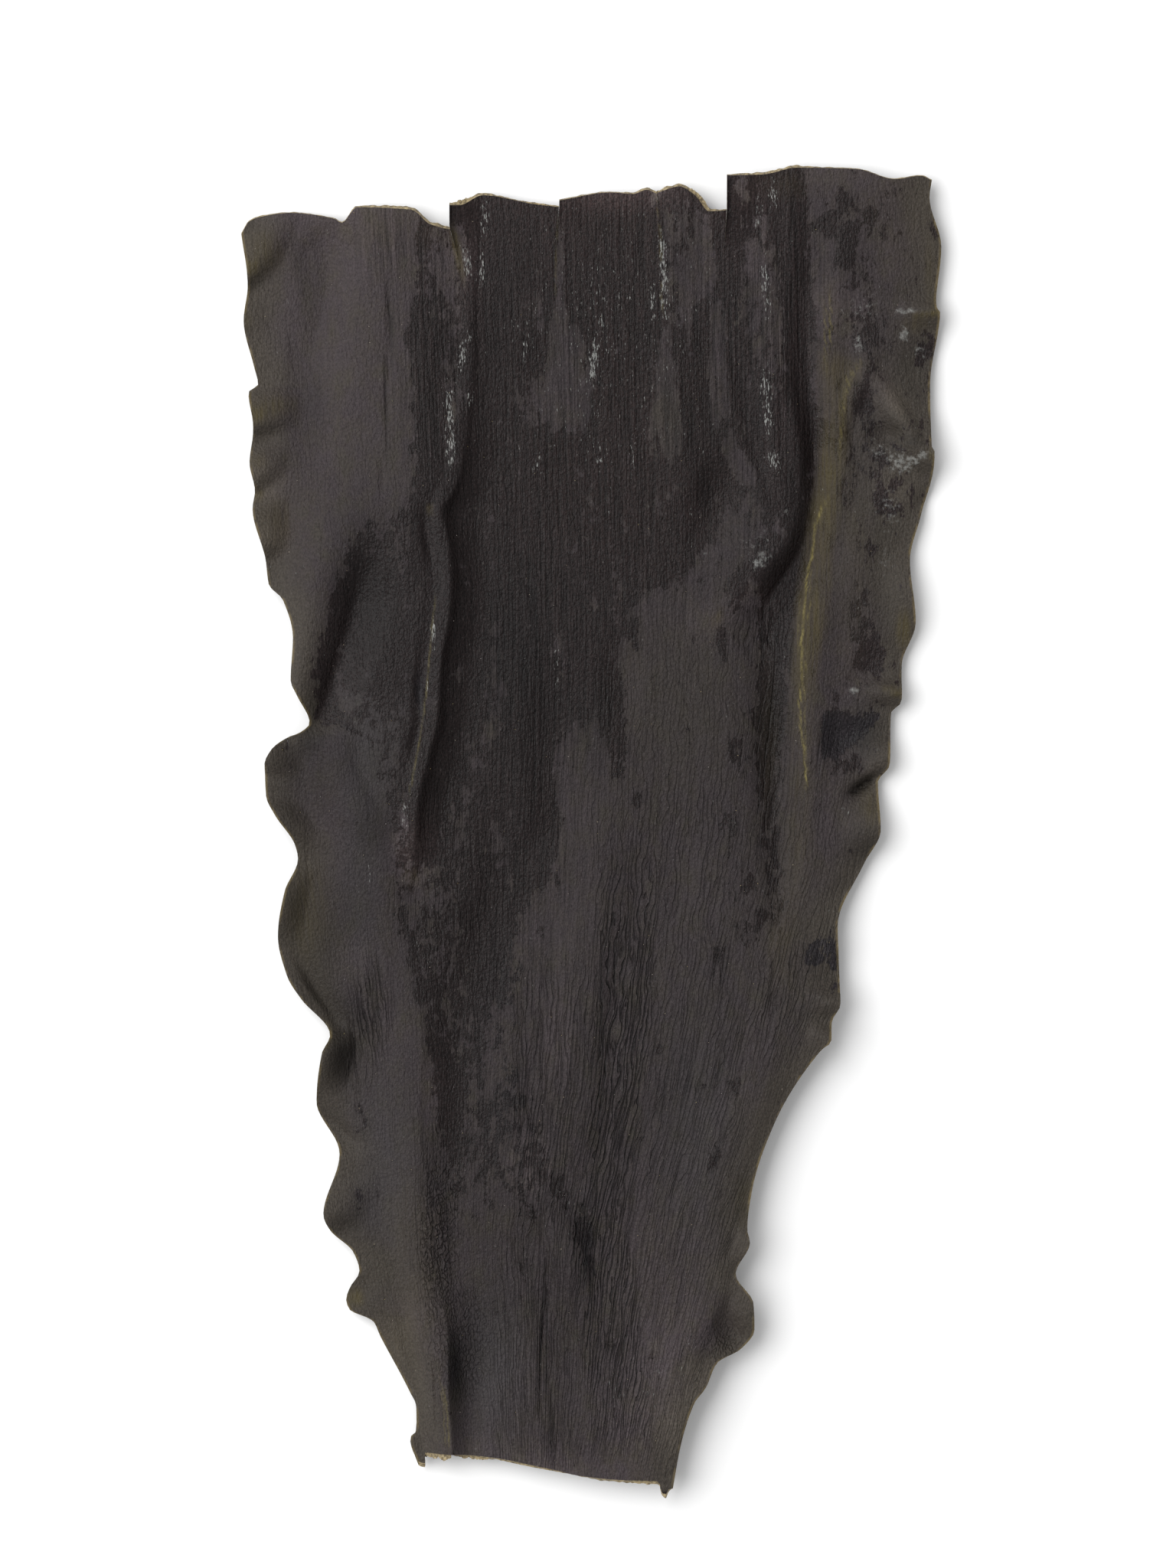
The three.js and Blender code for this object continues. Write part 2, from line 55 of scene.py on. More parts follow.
# Side margins as (y, x), one pair at each tip, notch or change of direction, top to bottom.
LEFT_MARGIN = [
    (155.5, -91.3), (142.8, -89.6), (133, -90.7), (121, -88), (116.3, -86.9), (114.2, -89.4),
    (105.2, -88), (96, -89), (88.6, -87.6), (84, -88.2), (71, -84.9), (64, -84), (60, -80.3),
    (50, -77.6), (39, -78.2), (35, -76.5), (27.9, -73.3), (25.3, -76), (24.2, -79),
    (21, -83.2), (17, -85), (9, -84.7), (4, -82.3), (-4, -77.1), (-7.5, -76.4), (-16, -79.8),
    (-28, -81.6), (-38, -79.2), (-44, -75.5), (-53.5, -68), (-58, -70), (-71, -71.6),
    (-84.5, -65.6), (-100, -69.7), (-104.3, -68), (-110, -62), (-115, -60.4), (-119.5, -63),
    (-122.5, -63.9), (-125, -63), (-128, -56.8), (-132, -55), (-147, -47), (-150, -45.6),
    (-156.5, -45.5), (-158.5, -47.2), (-161, -46.8), (-164.5, -45),
]
RIGHT_MARGIN = [
    (169.3, 88.8), (165, 88.2), (152, 91.3), (136.5, 89.9), (134.7, 90.9), (116, 88.4),
    (99.5, 88.7), (98.6, 89.4), (95, 89.3), (82, 86), (70, 83.1), (54, 84.6), (43, 81),
    (33.5, 80.9), (30.5, 78.2), (17, 77.8), (12.5, 74.8), (0, 75.4), (-9, 71), (-25, 64.2),
    (-34, 64.5), (-45.2, 64.8), (-50, 62.6), (-55, 62.4), (-57, 60), (-76, 47.8), (-94, 41.8),
    (-104, 40.6), (-107, 41.3), (-115.5, 37.6), (-123, 42.2), (-130, 42.5), (-135, 39),
    (-138.5, 32.8), (-145, 29.8), (-149, 26.8), (-160, 23.3), (-171, 21.3),
]
# The ends as (x, y). The top end is in five pieces, one between each two tears.
TOP_END = [
    [(-91.3, 155.5), (-89.3, 158.8), (-86.5, 160), (-78.3, 161), (-67, 159.4), (-65, 158.3),
     (-61, 162.3), (-46.8, 161.6), (-42, 157.9), (-36.9, 156.5)],
    [(-36.9, 162.7), (-34.5, 162.7), (-28.2, 165.5), (-15, 163.2), (-8.3, 162.4)],
    [(-8.3, 164.1), (5, 166.2), (11, 165.8), (14.5, 166.9), (17.2, 165.7)],
    [(17.2, 166.1), (23, 167.7), (27, 165.5), (30.8, 161.2), (35.3, 161.5)],
    [(35.3, 170.3), (45, 170.8), (54, 172.6), (69, 172.2), (79, 169.6), (86, 170.5),
     (88.8, 169.3)],
]
BASE_END = [
    (-47.3, -160.5), (-45, -164.6), (-43.4, -165), (-42.7, -162.2), (-36, -162.5),
    (-27, -163.2), (-10, -166.3), (-3, -167.9), (7, -168.9), (17, -169.3), (17.8, -170),
    (18.4, -172.2), (19.4, -172.6), (20.2, -171.4), (21.4, -171),
]
# Tears down from the top end: path as (y, x) from the end of the tear up to the edge, how
# far the right lip stands above the left one, and how far that step reaches to the right.
TEARS = [
    {"path": [(142, -33.5), (147, -34.2), (157, -36.9)], "step": 1.6, "reach": 9},
    {"path": [(150, -9.2), (163, -8.3)], "step": 0.5, "reach": 8},
    {"path": [(152, 18.2), (166, 17.2)], "step": -0.4, "reach": 8},
    {"path": [(148, 34.5), (161.5, 35.3)], "step": 1.8, "reach": 10},
]
# The two main fold lines as (y, x); the columns of points bend to follow them.
FOLD_LINE = [
    (172, -24), (125, -29), (100, -33.5), (92, -37), (83, -41.4), (71, -38.8), (40, -41.2),
    (8, -45.6), (-40, -46), (-113, -42), (-130, -39.4), (-166, -41),
]
VALLEY_LINE = [
    (174, 57), (150, 57.5), (135, 56.2), (120, 56.6), (95, 58), (85, 58.6), (75, 57.4),
    (69, 55.5), (60, 51), (55, 48.4), (49, 46.8), (5, 48.6), (-30, 48), (-100, 30), (-130, 22),
    (-172, 10),
]
STRIPS = (102, 150, 68)          # strips of faces left of, between and right of those lines
CROWDING = (0.3, 0.2, 0.3)       # how much the strips crowd towards the lines
ROWS = 248
TEAR_GAP = 0.06                  # open width of a tear between its two lips
TEAR_OPENS = 4                   # it opens to that width over this length
TEAR_FADE = 45                   # below a tear, columns bend back to their places over this
TEAR_SHARE = 8                   # half width of the band of columns that bend to a tear
END_FADE = 11.5                  # rows bend to follow an end over this length
OUTLINE_STEPS = 6000             # steps in which a margin's length is measured
END_ROUNDS = 5                   # where a column meets an end settles in this many rounds


def smooth_step(low, high, value):
    t = np.clip((value - low) / (high - low), 0, 1)
    return t * t * (3 - 2 * t)


def curve_through(pairs):
    """A smooth curve through (at, value) pairs that never swings past them."""
    at, value = np.array(sorted(pairs), float).T
    slopes = np.diff(value) / np.diff(at)
    before = np.concatenate([slopes[:1], slopes])
    after = np.concatenate([slopes, slopes[-1:]])
    turning = before * after <= 0
    tangents = np.where(turning, 0, 2 * before * after / np.where(turning, 1, before + after))

    def curve(where):
        q = np.clip(where, at[0], at[-1])
        i = np.searchsorted(at[1:-1], q)
        length = at[i + 1] - at[i]
        t = (q - at[i]) / length
        return (
            value[i] * (1 + 2 * t) * (1 - t) ** 2
            + tangents[i] * length * t * (1 - t) ** 2
            + value[i + 1] * t * t * (3 - 2 * t)
            + tangents[i + 1] * length * t * t * (t - 1)
        )

    return curve


def bump(t):
    """A round bump: 1 in the middle, 0 and level from 1 on."""
    return np.clip(1 - t * t, 0, None) ** 2


left_margin = curve_through(LEFT_MARGIN)
right_margin = curve_through(RIGHT_MARGIN)
top_ends = [curve_through(piece) for piece in TOP_END]
base_end = curve_through(BASE_END)
guides = [left_margin, curve_through(FOLD_LINE), curve_through(VALLEY_LINE), right_margin]
for tear in TEARS:
    tear["x"] = curve_through(tear["path"])
    tear["root"] = tear["path"][0][0]
    tear["mouth"] = tear["path"][-1][0]

# Every column of points: its region, its share of the region's width, the piece of the top
# end that it reaches, and for a tear's two lips the side of the tear that it is on.
columns = []
for region, (strips, crowding) in enumerate(zip(STRIPS, CROWDING)):
    for k in range(0 if region == 0 else 1, strips + 1):
        even = k / strips
        share = even - crowding * math.sin(2 * math.pi * even) / (2 * math.pi)
        columns.append({"region": region, "share": share, "side": 0, "piece": 0})


def plain_x(column, y):
    start, end = guides[column["region"]](y), guides[column["region"] + 1](y)
    return start + (end - start) * column["share"]


for tear in TEARS:
    mouth = tear["mouth"]
    nearest = min(columns, key=lambda c: abs(plain_x(c, mouth) - tear["x"](mouth)))
    at = columns.index(nearest)
    tear["column"] = dict(nearest)
    left_lip = dict(nearest, side=-1, tear=tear)
    right_lip = dict(nearest, side=1, tear=tear, piece=nearest["piece"] + 1)
    after = [dict(c, piece=c["piece"] + 1) for c in columns[at + 1:]]
    columns = columns[:at] + [left_lip, right_lip] + after
last = len(columns) - 1


def column_x(y):
    """x of every column at its own height y; columns near a tear bend to follow it."""
    x = np.stack([plain_x(column, y[:, c]) for c, column in enumerate(columns)], axis=1)
    moved = x.copy()
    for tear in TEARS:
        own = plain_x(tear["column"], y)
        hold = smooth_step(tear["root"] - TEAR_FADE, tear["root"], y)
        moved += hold * (tear["x"](y) - own) * bump((x - own) / TEAR_SHARE)
    for c, column in enumerate(columns):
        if column["side"]:
            open_from = column["tear"]["root"]
            gap = TEAR_GAP * np.clip((y[:, c] - open_from) / TEAR_OPENS, 0, 1)
            moved[:, c] += column["side"] * gap / 2
    return moved


def along_margin(margin, upper, lower):
    """Heights of the rows at a margin, evenly spaced along its outline."""
    y = np.linspace(upper, lower, OUTLINE_STEPS)
    steps = np.hypot(np.diff(margin(y)), np.diff(y))
    length = np.concatenate([[0], np.cumsum(steps)])
    return np.interp(np.linspace(0, length[-1], ROWS + 1), length, y)


left_rows = along_margin(left_margin, LEFT_MARGIN[0][0], LEFT_MARGIN[-1][0])
right_rows = along_margin(right_margin, RIGHT_MARGIN[0][0], RIGHT_MARGIN[-1][0])
across = np.linspace(0, 1, last + 1)
row_y = left_rows[:, None] + (right_rows - left_rows)[:, None] * across
top_fade = 1 - smooth_step(0, END_FADE, row_y[0] - row_y)
base_fade = 1 - smooth_step(0, END_FADE, row_y - row_y[-1])
grid_y = row_y
for _ in range(END_ROUNDS):
    end_x = column_x(grid_y[[0, -1]])
    top = np.array([top_ends[c["piece"]](end_x[0, i]) for i, c in enumerate(columns)])
    grid_y = row_y + (top - row_y[0]) * top_fade + (base_end(end_x[1]) - row_y[-1]) * base_fade
grid_x = column_x(grid_y)


# ---- The blade's relief ------------------------------------------------------------------
# As it dried the blade pulled itself into long folds and hollows, and its margins frilled.
# The underside stands on a few pressed spots; the skin is finely wrinkled along its length.

REST_HEIGHT = 3.0                # usual height of the underside above the table
MARGIN_THICKNESS = 0.5
BLADE_THICKNESS = 1.3
BASE_Y = -170                    # the stalk end
BASE_THICKENING = 0.4            # added there, and less and less up to the middle of the blade
THICKENING_REACH = 14            # how far in from a margin the blade becomes thick
STEEPEST_FACTOR = 2.2            # limit of the extra upright thickness on steep flanks
OPENING_LIMIT = 1.3              # a tear's opening, 0 at its root and 1 at its mouth, ends here
HALF_SPAN = 0.5                  # slopes are taken over this distance to both sides

# Long folds. Each row is (y, x of the crest, height, width of the left flank, width of the
# right flank); a negative height is a valley.
FOLDS = {
    "broad_swell": [
        (175, -50, 1.2, 26, 20), (140, -50, 2.2, 27, 20), (100, -50, 2.8, 28, 18),
        (84, -52, 2.2, 28, 18), (60, -54, 0, 28, 16)],
    "left_valley": [
        (160, -67, 0, 6, 10), (150, -70.5, -2.1, 8, 14), (141, -73.6, -2.3, 6, 14),
        (132, -75, -1.8, 5, 14), (120, -75, -1, 6, 12), (105, -73, -0.8, 8, 12),
        (92, -70, 0, 8, 10)],
    "main_fold": [
        (150, -30, 0, 20, 8), (125, -31.4, 0.7, 24, 9), (105, -32.6, 1.8, 28, 9.4),
        (95, -34, 2.6, 30, 9.6), (88, -36.2, 3.2, 34, 10), (83, -39.6, 3.6, 40, 11.5),
        (79, -38.2, 3.8, 44, 11), (71, -37.2, 4.2, 48, 10), (65, -37, 4.5, 50, 10),
        (55, -37.4, 4.6, 52, 10), (45, -39.4, 4.6, 52, 9.6), (35, -40, 4.4, 48, 9.4),
        (28, -40.6, 4.4, 44, 9.4), (20, -42.6, 4.4, 40, 9.4), (5, -45.8, 4, 26, 8.4),
        (-5, -46.4, 2.6, 14, 7), (-12, -47.6, 0.8, 11, 6), (-18, -48, 0, 10, 6)],
    "fold_lip": [
        (158, -32, 0, 4, 3), (135, -32, 0.5, 3.4, 3), (120, -32, 0.5, 3.4, 3),
        (105, -34.2, 0.6, 3.4, 3), (95, -35.4, 0.6, 3.2, 3), (90, -36.6, 0.6, 3.2, 3),
        (83, -39.2, 0.8, 2.6, 3), (75, -38.2, 0.6, 2.8, 2.5), (65, -36.8, 0.5, 2.8, 2.5),
        (45, -39.6, 0.6, 2.8, 2.5), (28, -40.6, 0.5, 3, 2.5), (20, -42.8, 0.5, 3, 2.5),
        (3, -46.2, 0.6, 3, 3), (-8, -47, 0, 4, 3)],
    "left_ridge": [
        (104, -64, 0, 12, 14), (88, -66, 1, 13, 15), (75, -68, 2.2, 14, 15),
        (65, -71, 3.2, 13, 13), (55, -73, 3.6, 9, 12), (45, -75, 3.8, 6, 11),
        (35, -76.4, 3.4, 4, 9), (27, -77, 1.8, 4, 8), (20, -74, 0, 5, 8)],
    "left_crease": [
        (84, -59, 0, 12, 14), (74, -60.5, -0.8, 12, 14), (64, -61.6, -1.8, 12, 14),
        (54, -64, -2.3, 10, 14), (44, -67, -2.5, 9, 13), (34, -70, -2.2, 7, 12),
        (25, -72.4, 0, 6, 10)],
    "left_flank": [
        (34, -66, 0, 8, 6), (20, -66, 1.2, 9, 6), (5, -62, 1.8, 12, 8.5), (-15, -58, 1, 14, 12),
        (-30, -54, 0, 14, 12)],
    "lower_left_roll": [
        (-20, -48, 0, 14, 10), (-40, -46, 1, 14, 10), (-55, -44.2, 1.6, 14, 8.5),
        (-75, -45, 1.8, 14, 10), (-95, -43, 2.4, 13, 8), (-113, -41.6, 1.6, 12, 9),
        (-124, -38.6, 3, 12, 9), (-135, -37.6, 5.6, 11, 8.4), (-145, -37.6, 5.8, 9, 7.6),
        (-155, -36.8, 4.6, 8.4, 6.4), (-166, -36.4, 3.4, 8, 5.4)],
    "rim_groove": [
        (-29, -79, 0, 2.4, 6), (-36, -75, -0.8, 2.6, 7), (-42, -71.8, -1.2, 2.6, 7),
        (-49, -67, -1.1, 2.6, 6), (-55, -65, 0, 2.4, 5)],
    "right_plateau": [
        (174, 42, 0.3, 20, 9), (140, 43, 0.5, 24, 9), (110, 49, 0.7, 26, 6), (95, 52, 0.8, 28, 5),
        (78, 50, 0, 26, 6)],
    "right_valley": [
        (174, 57, -0.4, 7, 16), (160, 57, -0.8, 6, 16), (150, 57.5, -1.1, 6, 16),
        (135, 56.2, -1.5, 6, 16), (120, 56.8, -2.2, 7, 18), (105, 58.4, -2.8, 6, 20),
        (95, 59, -3.2, 5.4, 20), (85, 59.2, -2.8, 6, 18), (75, 57.6, -3.6, 8, 16),
        (69, 55.5, -4.2, 11, 16), (65, 53.8, -4.4, 13, 16), (60, 51, -4.2, 14, 15),
        (55, 48.4, -3.4, 14, 14), (49, 46.8, -2.2, 11, 12), (40, 47.4, -1.6, 8, 12),
        (20, 48, -2, 8, 12), (5, 48.6, -1.6, 8, 12), (-15, 49, -1.6, 5.5, 12),
        (-30, 49.5, 0, 6, 10)],
    "olive_ridge": [
        (160, 67, 0, 6, 5), (135, 63, 0.8, 6, 6), (120, 62, 0.6, 6, 5), (105, 64.3, 1.2, 6, 3.5),
        (95, 65, 1, 8, 5), (85, 63, 0.7, 6, 6), (75, 60.5, 0.8, 5, 6), (65, 58, 0.8, 4, 7),
        (45, 58, 0.8, 8, 8), (20, 57.5, 1, 8, 6), (5, 55, 0.5, 6, 6), (-15, 54, 0, 6, 6)],
    "branch_ridge": [
        (128, 74, 0, 5, 4), (120, 72, 0.8, 5, 3), (110, 67.5, 0.9, 5, 3), (100, 65, 0, 5, 3)],
    "tongue": [
        (98, 48, 0, 16, 6), (85, 50, 0.4, 22, 5), (75, 49, 1.2, 24, 6), (68, 45, 1.6, 20, 8),
        (62, 41, 1.4, 16, 8), (50, 34, 0, 12, 8)],
    "middle_ridge": [
        (52, 30, 0, 14, 9), (20, 35, 1.2, 19, 10), (-20, 38, 1, 15, 8), (-40, 35, 0, 13, 9)],
    "centre_rib": [
        (168, 21.5, 0.3, 8, 7), (118, 22, 0.7, 10, 9), (100, 23, 0.7, 10, 8), (74, 25, 0, 9, 8)],
    "diagonal_valley": [
        (12, -22, 0, 9, 20), (-15, -24, -1.2, 10, 24), (-35, -31, -1.5, 11, 26),
        (-55, -33, -1.2, 9, 24), (-75, -34, -1, 8, 22), (-95, -36, 0, 8, 18)],
    "inner_valley": [
        (50, -10, 0, 9, 12), (35, -9, -1.1, 10, 14), (20, -10, -1.4, 10, 14), (5, -9, -1.4, 9, 14),
        (-10, -14, 0, 9, 12)],
    "pale_rib": [
        (10, 4, 0, 10, 8), (-15, 3, 1, 12, 10), (-35, 0, 2, 13, 8.5), (-55, -1.6, 2.6, 12, 7.6),
        (-75, -2.4, 2.2, 10, 7.6), (-92, -5, 0, 8, 7)],
    "low_step": [
        (-84, -17, 0, 9, 6), (-95, -12, 1.4, 9, 7), (-104, -8, 2.2, 9, 6.5),
        (-113, -5.2, 2.8, 9, 6), (-122, -3.5, 1.6, 8, 5), (-132, -1, 0, 8, 4)],
    "right_low_rib": [
        (-40, 50, 0, 10, 8), (-70, 43, 0.8, 12, 8), (-100, 34, 0.8, 12, 6),
        (-118, 33.5, 1.2, 6, 4), (-135, 25.5, 1.4, 7, 5), (-156, 24, 0, 6, 4)],
    "lit_swell": [
        (121, 73, 0, 5, 4), (115, 76, 1.5, 6, 4), (109, 79.6, 2.2, 6, 4), (104, 82.4, 1.8, 6, 4),
        (98, 84.6, 0, 5, 4)],
    "crest_groove": [
        (86, -43.4, 0, 2.6, 2.4), (80, -43.2, -0.6, 2.6, 2.4), (74, -42.4, -0.8, 2.6, 2.4),
        (66, -41.2, -0.25, 3, 2.6), (52, -42.4, -0.3, 3, 2.6), (44, -43.6, -0.5, 2.8, 2.6),
        (36, -44.6, -1, 2.6, 2.6), (30, -44.6, -0.7, 2.8, 2.6), (24, -45.4, -0.8, 3, 2.8),
        (14, -48.4, 0, 3.4, 3.2)],
    "bloom_rib": [
        (170, 45, 0, 3, 4), (135, 46.4, 0.4, 3.4, 4), (120, 46.4, 0.5, 3.2, 4.5),
        (105, 46.8, 0.5, 3, 3.4), (95, 47.6, 0.5, 2.8, 2.8), (88, 49, 0, 3, 3)],
    "rib_groove": [
        (130, 34, 0, 3, 6), (120, 38, -0.5, 3, 7), (105, 41, -0.6, 3.4, 7), (95, 44.2, -0.7, 3, 5),
        (86, 48, 0, 3, 5)],
    "low_rib": [
        (-108, -15, 0, 8, 7), (-120, -14, 0.8, 8, 8), (-150, -14, 0.9, 8, 8),
        (-168, -15, 0.6, 8, 8)],
}
# Folds with a crease instead of a round crest, and on which side of it they fall off sharply.
CREASED = {"right_valley": 1, "main_fold": 1, "lower_left_roll": 1, "left_crease": -1}
# Round hollows (negative) and swells: centre x, y, radius along x, along y, height, and where
# it isn't 0 the turn in degrees. The last five are broad changes of the height over the table.
HOLLOWS = {
    "blot_hollow": (-13, 118, 8, 18, -0.6),
    "rib_hollow": (34, 86, 10, 20, -1.6, -20),
    "mid_hollow": (8, 38, 9, 15, -0.8),
    "low_hollow": (19, -76, 16, 26, -1),
    "step_hollow": (6, -108, 11, 17, -1.2),
    "base_hollow": (12, -134, 16, 24, -1.2),
    "right_pocket_high": (78, 103, 8, 4, -1.6),
    "right_pocket_mid": (72, 42, 7, 9, -1),
    "right_pocket_low": (66, 24, 9, 8, -1.8),
    "right_groove": (71, 11.6, 8, 2.8, -3, 35),
    "lobe_pocket": (36, -131, 6, 8, -2.2, 10),
    "top_left_dip": (-84, 138, 30, 44, -3.2),
    "lower_right_lift": (48, -80, 60, 110, 6, -12),
    "base_lift": (15, -172, 70, 60, 5),
    "top_right_lift": (60, 180, 80, 50, 2),
    "left_lift": (-95, 20, 40, 120, 1.5),
}
# Frills of a margin, each a ridge that runs in from the edge: y at the edge, half width above
# and below, lift at the very edge, reach inwards, and how fast its y rises on the way in.
LEFT_FRILLS = [
    (144.5, 12, 4, 3, 16, 0.9), (133, 8, 5, 0.8, 8, 0), (106, 9, 4, 3.6, 14, 0.25),
    (91.5, 7, 3.5, 3.4, 11, 0.5), (75, 13, 5, 3.8, 10, 0.35), (19, 6, 5, 3.8, 10, -0.3),
    (12, 2.5, 2.5, 0.8, 12, 0), (3, 7, 9, 3.4, 9, 0), (-20, 13, 11, 3.2, 7, 0),
    (-42, 9, 8, 2.4, 6, 0), (-59, 8, 11, 6, 8, 0), (-78, 8, 8, -4.2, 9, 0),
    (-101, 9, 4.5, 3.4, 13, 0.3), (-121, 6, 6, -1.4, 9, 0), (-138, 12, 12, -2.4, 4, 0),
]
RIGHT_FRILLS = [
    (135, 4, 4, 3, 13, 0), (124, 7, 7, -0.8, 10, 0), (97, 15, 5, 4, 13, 0.2),
    (86, 5, 5, -1.4, 5, 0), (61, 14, 14, 2.6, 9, 0), (35.5, 4, 3.5, 3.6, 14, 0.1),
    (19, 7, 6, 2.8, 8, 0), (1, 9, 8, 3, 12, -0.1), (-12, 10, 10, -1, 6, 0),
    (-36, 6, 6, -1.6, 8, 0), (-44.5, 3, 5, 3.4, 12, 0.1), (-54.5, 3, 4, 2.4, 8, 0.4),
    (-76, 24, 24, -0.6, 6, 0), (-108, 7, 7, 2.2, 5, 0), (-124, 9, 9, 2, 7, 0),
    (-150, 16, 16, 1, 6, 0),
]


def fold_height(name, x, y):
    rows = FOLDS[name]
    crest, height, left, right = (
        curve_through([(row[0], row[k]) for row in rows]) for k in (1, 2, 3, 4)
    )
    aside = x - crest(y)
    t = np.clip(aside / np.where(aside < 0, left(y), right(y)), -1, 1)
    inside = (y <= rows[0][0]) & (y >= rows[-1][0])
    creased = t * CREASED.get(name, 0) > 0
    profile = np.where(creased, (1 - np.abs(t)) ** 2, bump(t))
    return inside * height(y) * profile


def spot(x, y, centre_x, centre_y, radius_x, radius_y, height, turn=0):
    """A round swell of that height in its middle, which fades out at its radius."""
    sine, cosine = math.sin(math.radians(turn)), math.cos(math.radians(turn))
    along = (x - centre_x) * cosine + (y - centre_y) * sine
    aside = (y - centre_y) * cosine - (x - centre_x) * sine
    return height * bump(np.hypot(along / radius_x, aside / radius_y))


def frill_height(frills, inset, y):
    z = 0
    for edge_y, above, below, lift, reach, rise in frills:
        aside = y - edge_y - rise * inset
        z = z + lift * bump(aside / np.where(aside > 0, above, below)) * bump(inset / reach)
    return z


def underside(x, y):
    """Height of the underside over the table, pressed flat where it would dip below it."""
    z = REST_HEIGHT + sum(fold_height(name, x, y) for name in FOLDS)
    for hollow in HOLLOWS.values():
        z = z + spot(x, y, *hollow)
    for tear in TEARS:
        aside = x - tear["x"](y)
        opened = np.clip((y - tear["root"]) / (tear["mouth"] - tear["root"]), 0, OPENING_LIMIT)
        z = z + (aside >= 0) * tear["step"] * opened ** 1.5 * bump(aside / tear["reach"])
    z = z + frill_height(LEFT_FRILLS, np.maximum(x - left_margin(y), 0), y)
    z = z + frill_height(RIGHT_FRILLS, np.maximum(right_margin(y) - x, 0), y)
    return np.maximum(z, 0)


inset = np.clip(np.minimum(grid_x - left_margin(grid_y), right_margin(grid_y) - grid_x), 0, None)
fullness = 1 - bump(np.minimum(inset / THICKENING_REACH, 1))
thickness = MARGIN_THICKNESS + (BLADE_THICKNESS - MARGIN_THICKNESS) * fullness
thickness += BASE_THICKENING * smooth_step(0, BASE_Y, grid_y)
slope_x = underside(grid_x + HALF_SPAN, grid_y) - underside(grid_x - HALF_SPAN, grid_y)
slope_y = underside(grid_x, grid_y + HALF_SPAN) - underside(grid_x, grid_y - HALF_SPAN)
steepness = np.hypot(1, np.hypot(slope_x, slope_y) / (2 * HALF_SPAN))
thickness *= np.minimum(steepness, STEEPEST_FACTOR)
lower_z = underside(grid_x, grid_y)
upper_z = lower_z + thickness


# ---- The blade's wrinkles ----------------------------------------------------------------
# Drying shrank the soft middle of the blade more than its skin, which crinkled lengthwise:
# faint straight lines at the thin top, deeper wavy ones at the thick lower half.

WRINKLE_SPACING = 2.7            # from one wrinkle to the next
WRINKLE_LENGTH = 12
WRINKLE_DEPTH = 0.08
WRINKLE_SWAY = 0.35              # wrinkles sway aside by up to this share of their spacing
FURROW_NARROWNESS = 2.2          # the larger, the narrower the furrows between them
WRINKLE_MEAN = 0.6               # taken off, so that wrinkles hardly raise the skin as a whole
NARROW_BLADE, BROAD_BLADE = 95, 150     # the wrinkles are laid out for these two widths
NARROW_UP_TO, BROAD_FROM = 100, 135     # and blended between these
WRINKLED_BORDER = 2.2            # a band of wrinkles fades out over this length
TOP_WRINKLES = 0.1               # strength of the straight lines at the top end
PEBBLE_DEPTH = 0.12
CREASE_END = 5                   # a crease fades out over this length
CREASE_WANDER = 0.3              # and wanders aside by about this


def smooth_noise(u, v, seed):
    """Smooth random values from about -1 to 1 that change over a distance of 1."""
    table = np.random.default_rng(seed).uniform(0, 2 * math.pi, (256, 256))
    i, j = np.floor(u).astype(int), np.floor(v).astype(int)
    fu, fv = u - i, v - j

    def corner(di, dj):
        angle = table[(i + di) & 255, (j + dj) & 255]
        return np.cos(angle) * (fu - di) + np.sin(angle) * (fv - dj)

    su = fu ** 3 * (fu * (fu * 6 - 15) + 10)
    sv = fv ** 3 * (fv * (fv * 6 - 15) + 10)
    low = corner(0, 0) * (1 - su) + corner(1, 0) * su
    high = corner(0, 1) * (1 - su) + corner(1, 1) * su
    return 1.5 * (low * (1 - sv) + high * sv)


def band(rows, border):
    """1 on the blade between two borders, times a strength; rows (y, left, right, strength)."""
    left, right, strength = (
        curve_through([(row[0], row[k]) for row in rows])(grid_y) for k in (1, 2, 3)
    )
    inside = smooth_step(left - border, left + border, grid_x)
    inside = inside * (1 - smooth_step(right - border, right + border, grid_x))
    return inside * strength * (grid_y <= rows[0][0]) * (grid_y >= rows[-1][0])


# Where the wrinkles lie: bands, then round places as (x, y, radius along x, radius along y,
# strength) and, where it isn't 0, the turn in degrees.
WRINKLED_BANDS = {
    "beside_the_rib": [
        (4, 2, 16, 0), (-14, 2, 16, 0.4), (-34, 2, 16, 0.9), (-60, 1, 14, 1), (-90, -1, 11, 1),
        (-105, -4, 10, 1), (-118, -4, 12, 0.9), (-135, -2, 13, 1), (-150, 0, 15, 0.9),
        (-166, 0, 16, 0)],
    "on_the_rib": [
        (-30, -18, 0, 0), (-45, -20, 0, 0.4), (-90, -20, -2, 0.5), (-120, -24, -4, 0.35),
        (-166, -26, -2, 0.3)],
    "right_of_it": [
        (20, 14, 34, 0), (-10, 14, 34, 0.2), (-70, 15, 40, 0.3), (-105, 12, 38, 0.3),
        (-130, 14, 32, 0.25), (-168, 16, 24, 0.25)],
}
WRINKLED = [
    (-58, -50, 8, 22, 0.8, -8), (45, 52, 10, 12, 0.5, -30), (-35, -20, 22, 50, 0.25),
    (50, -45, 16, 30, 0.4, -30), (-41, -100, 7, 40, 0.4), (20, 10, 40, 50, 0.2),
    (50, -10, 30, 60, 0.2),
]
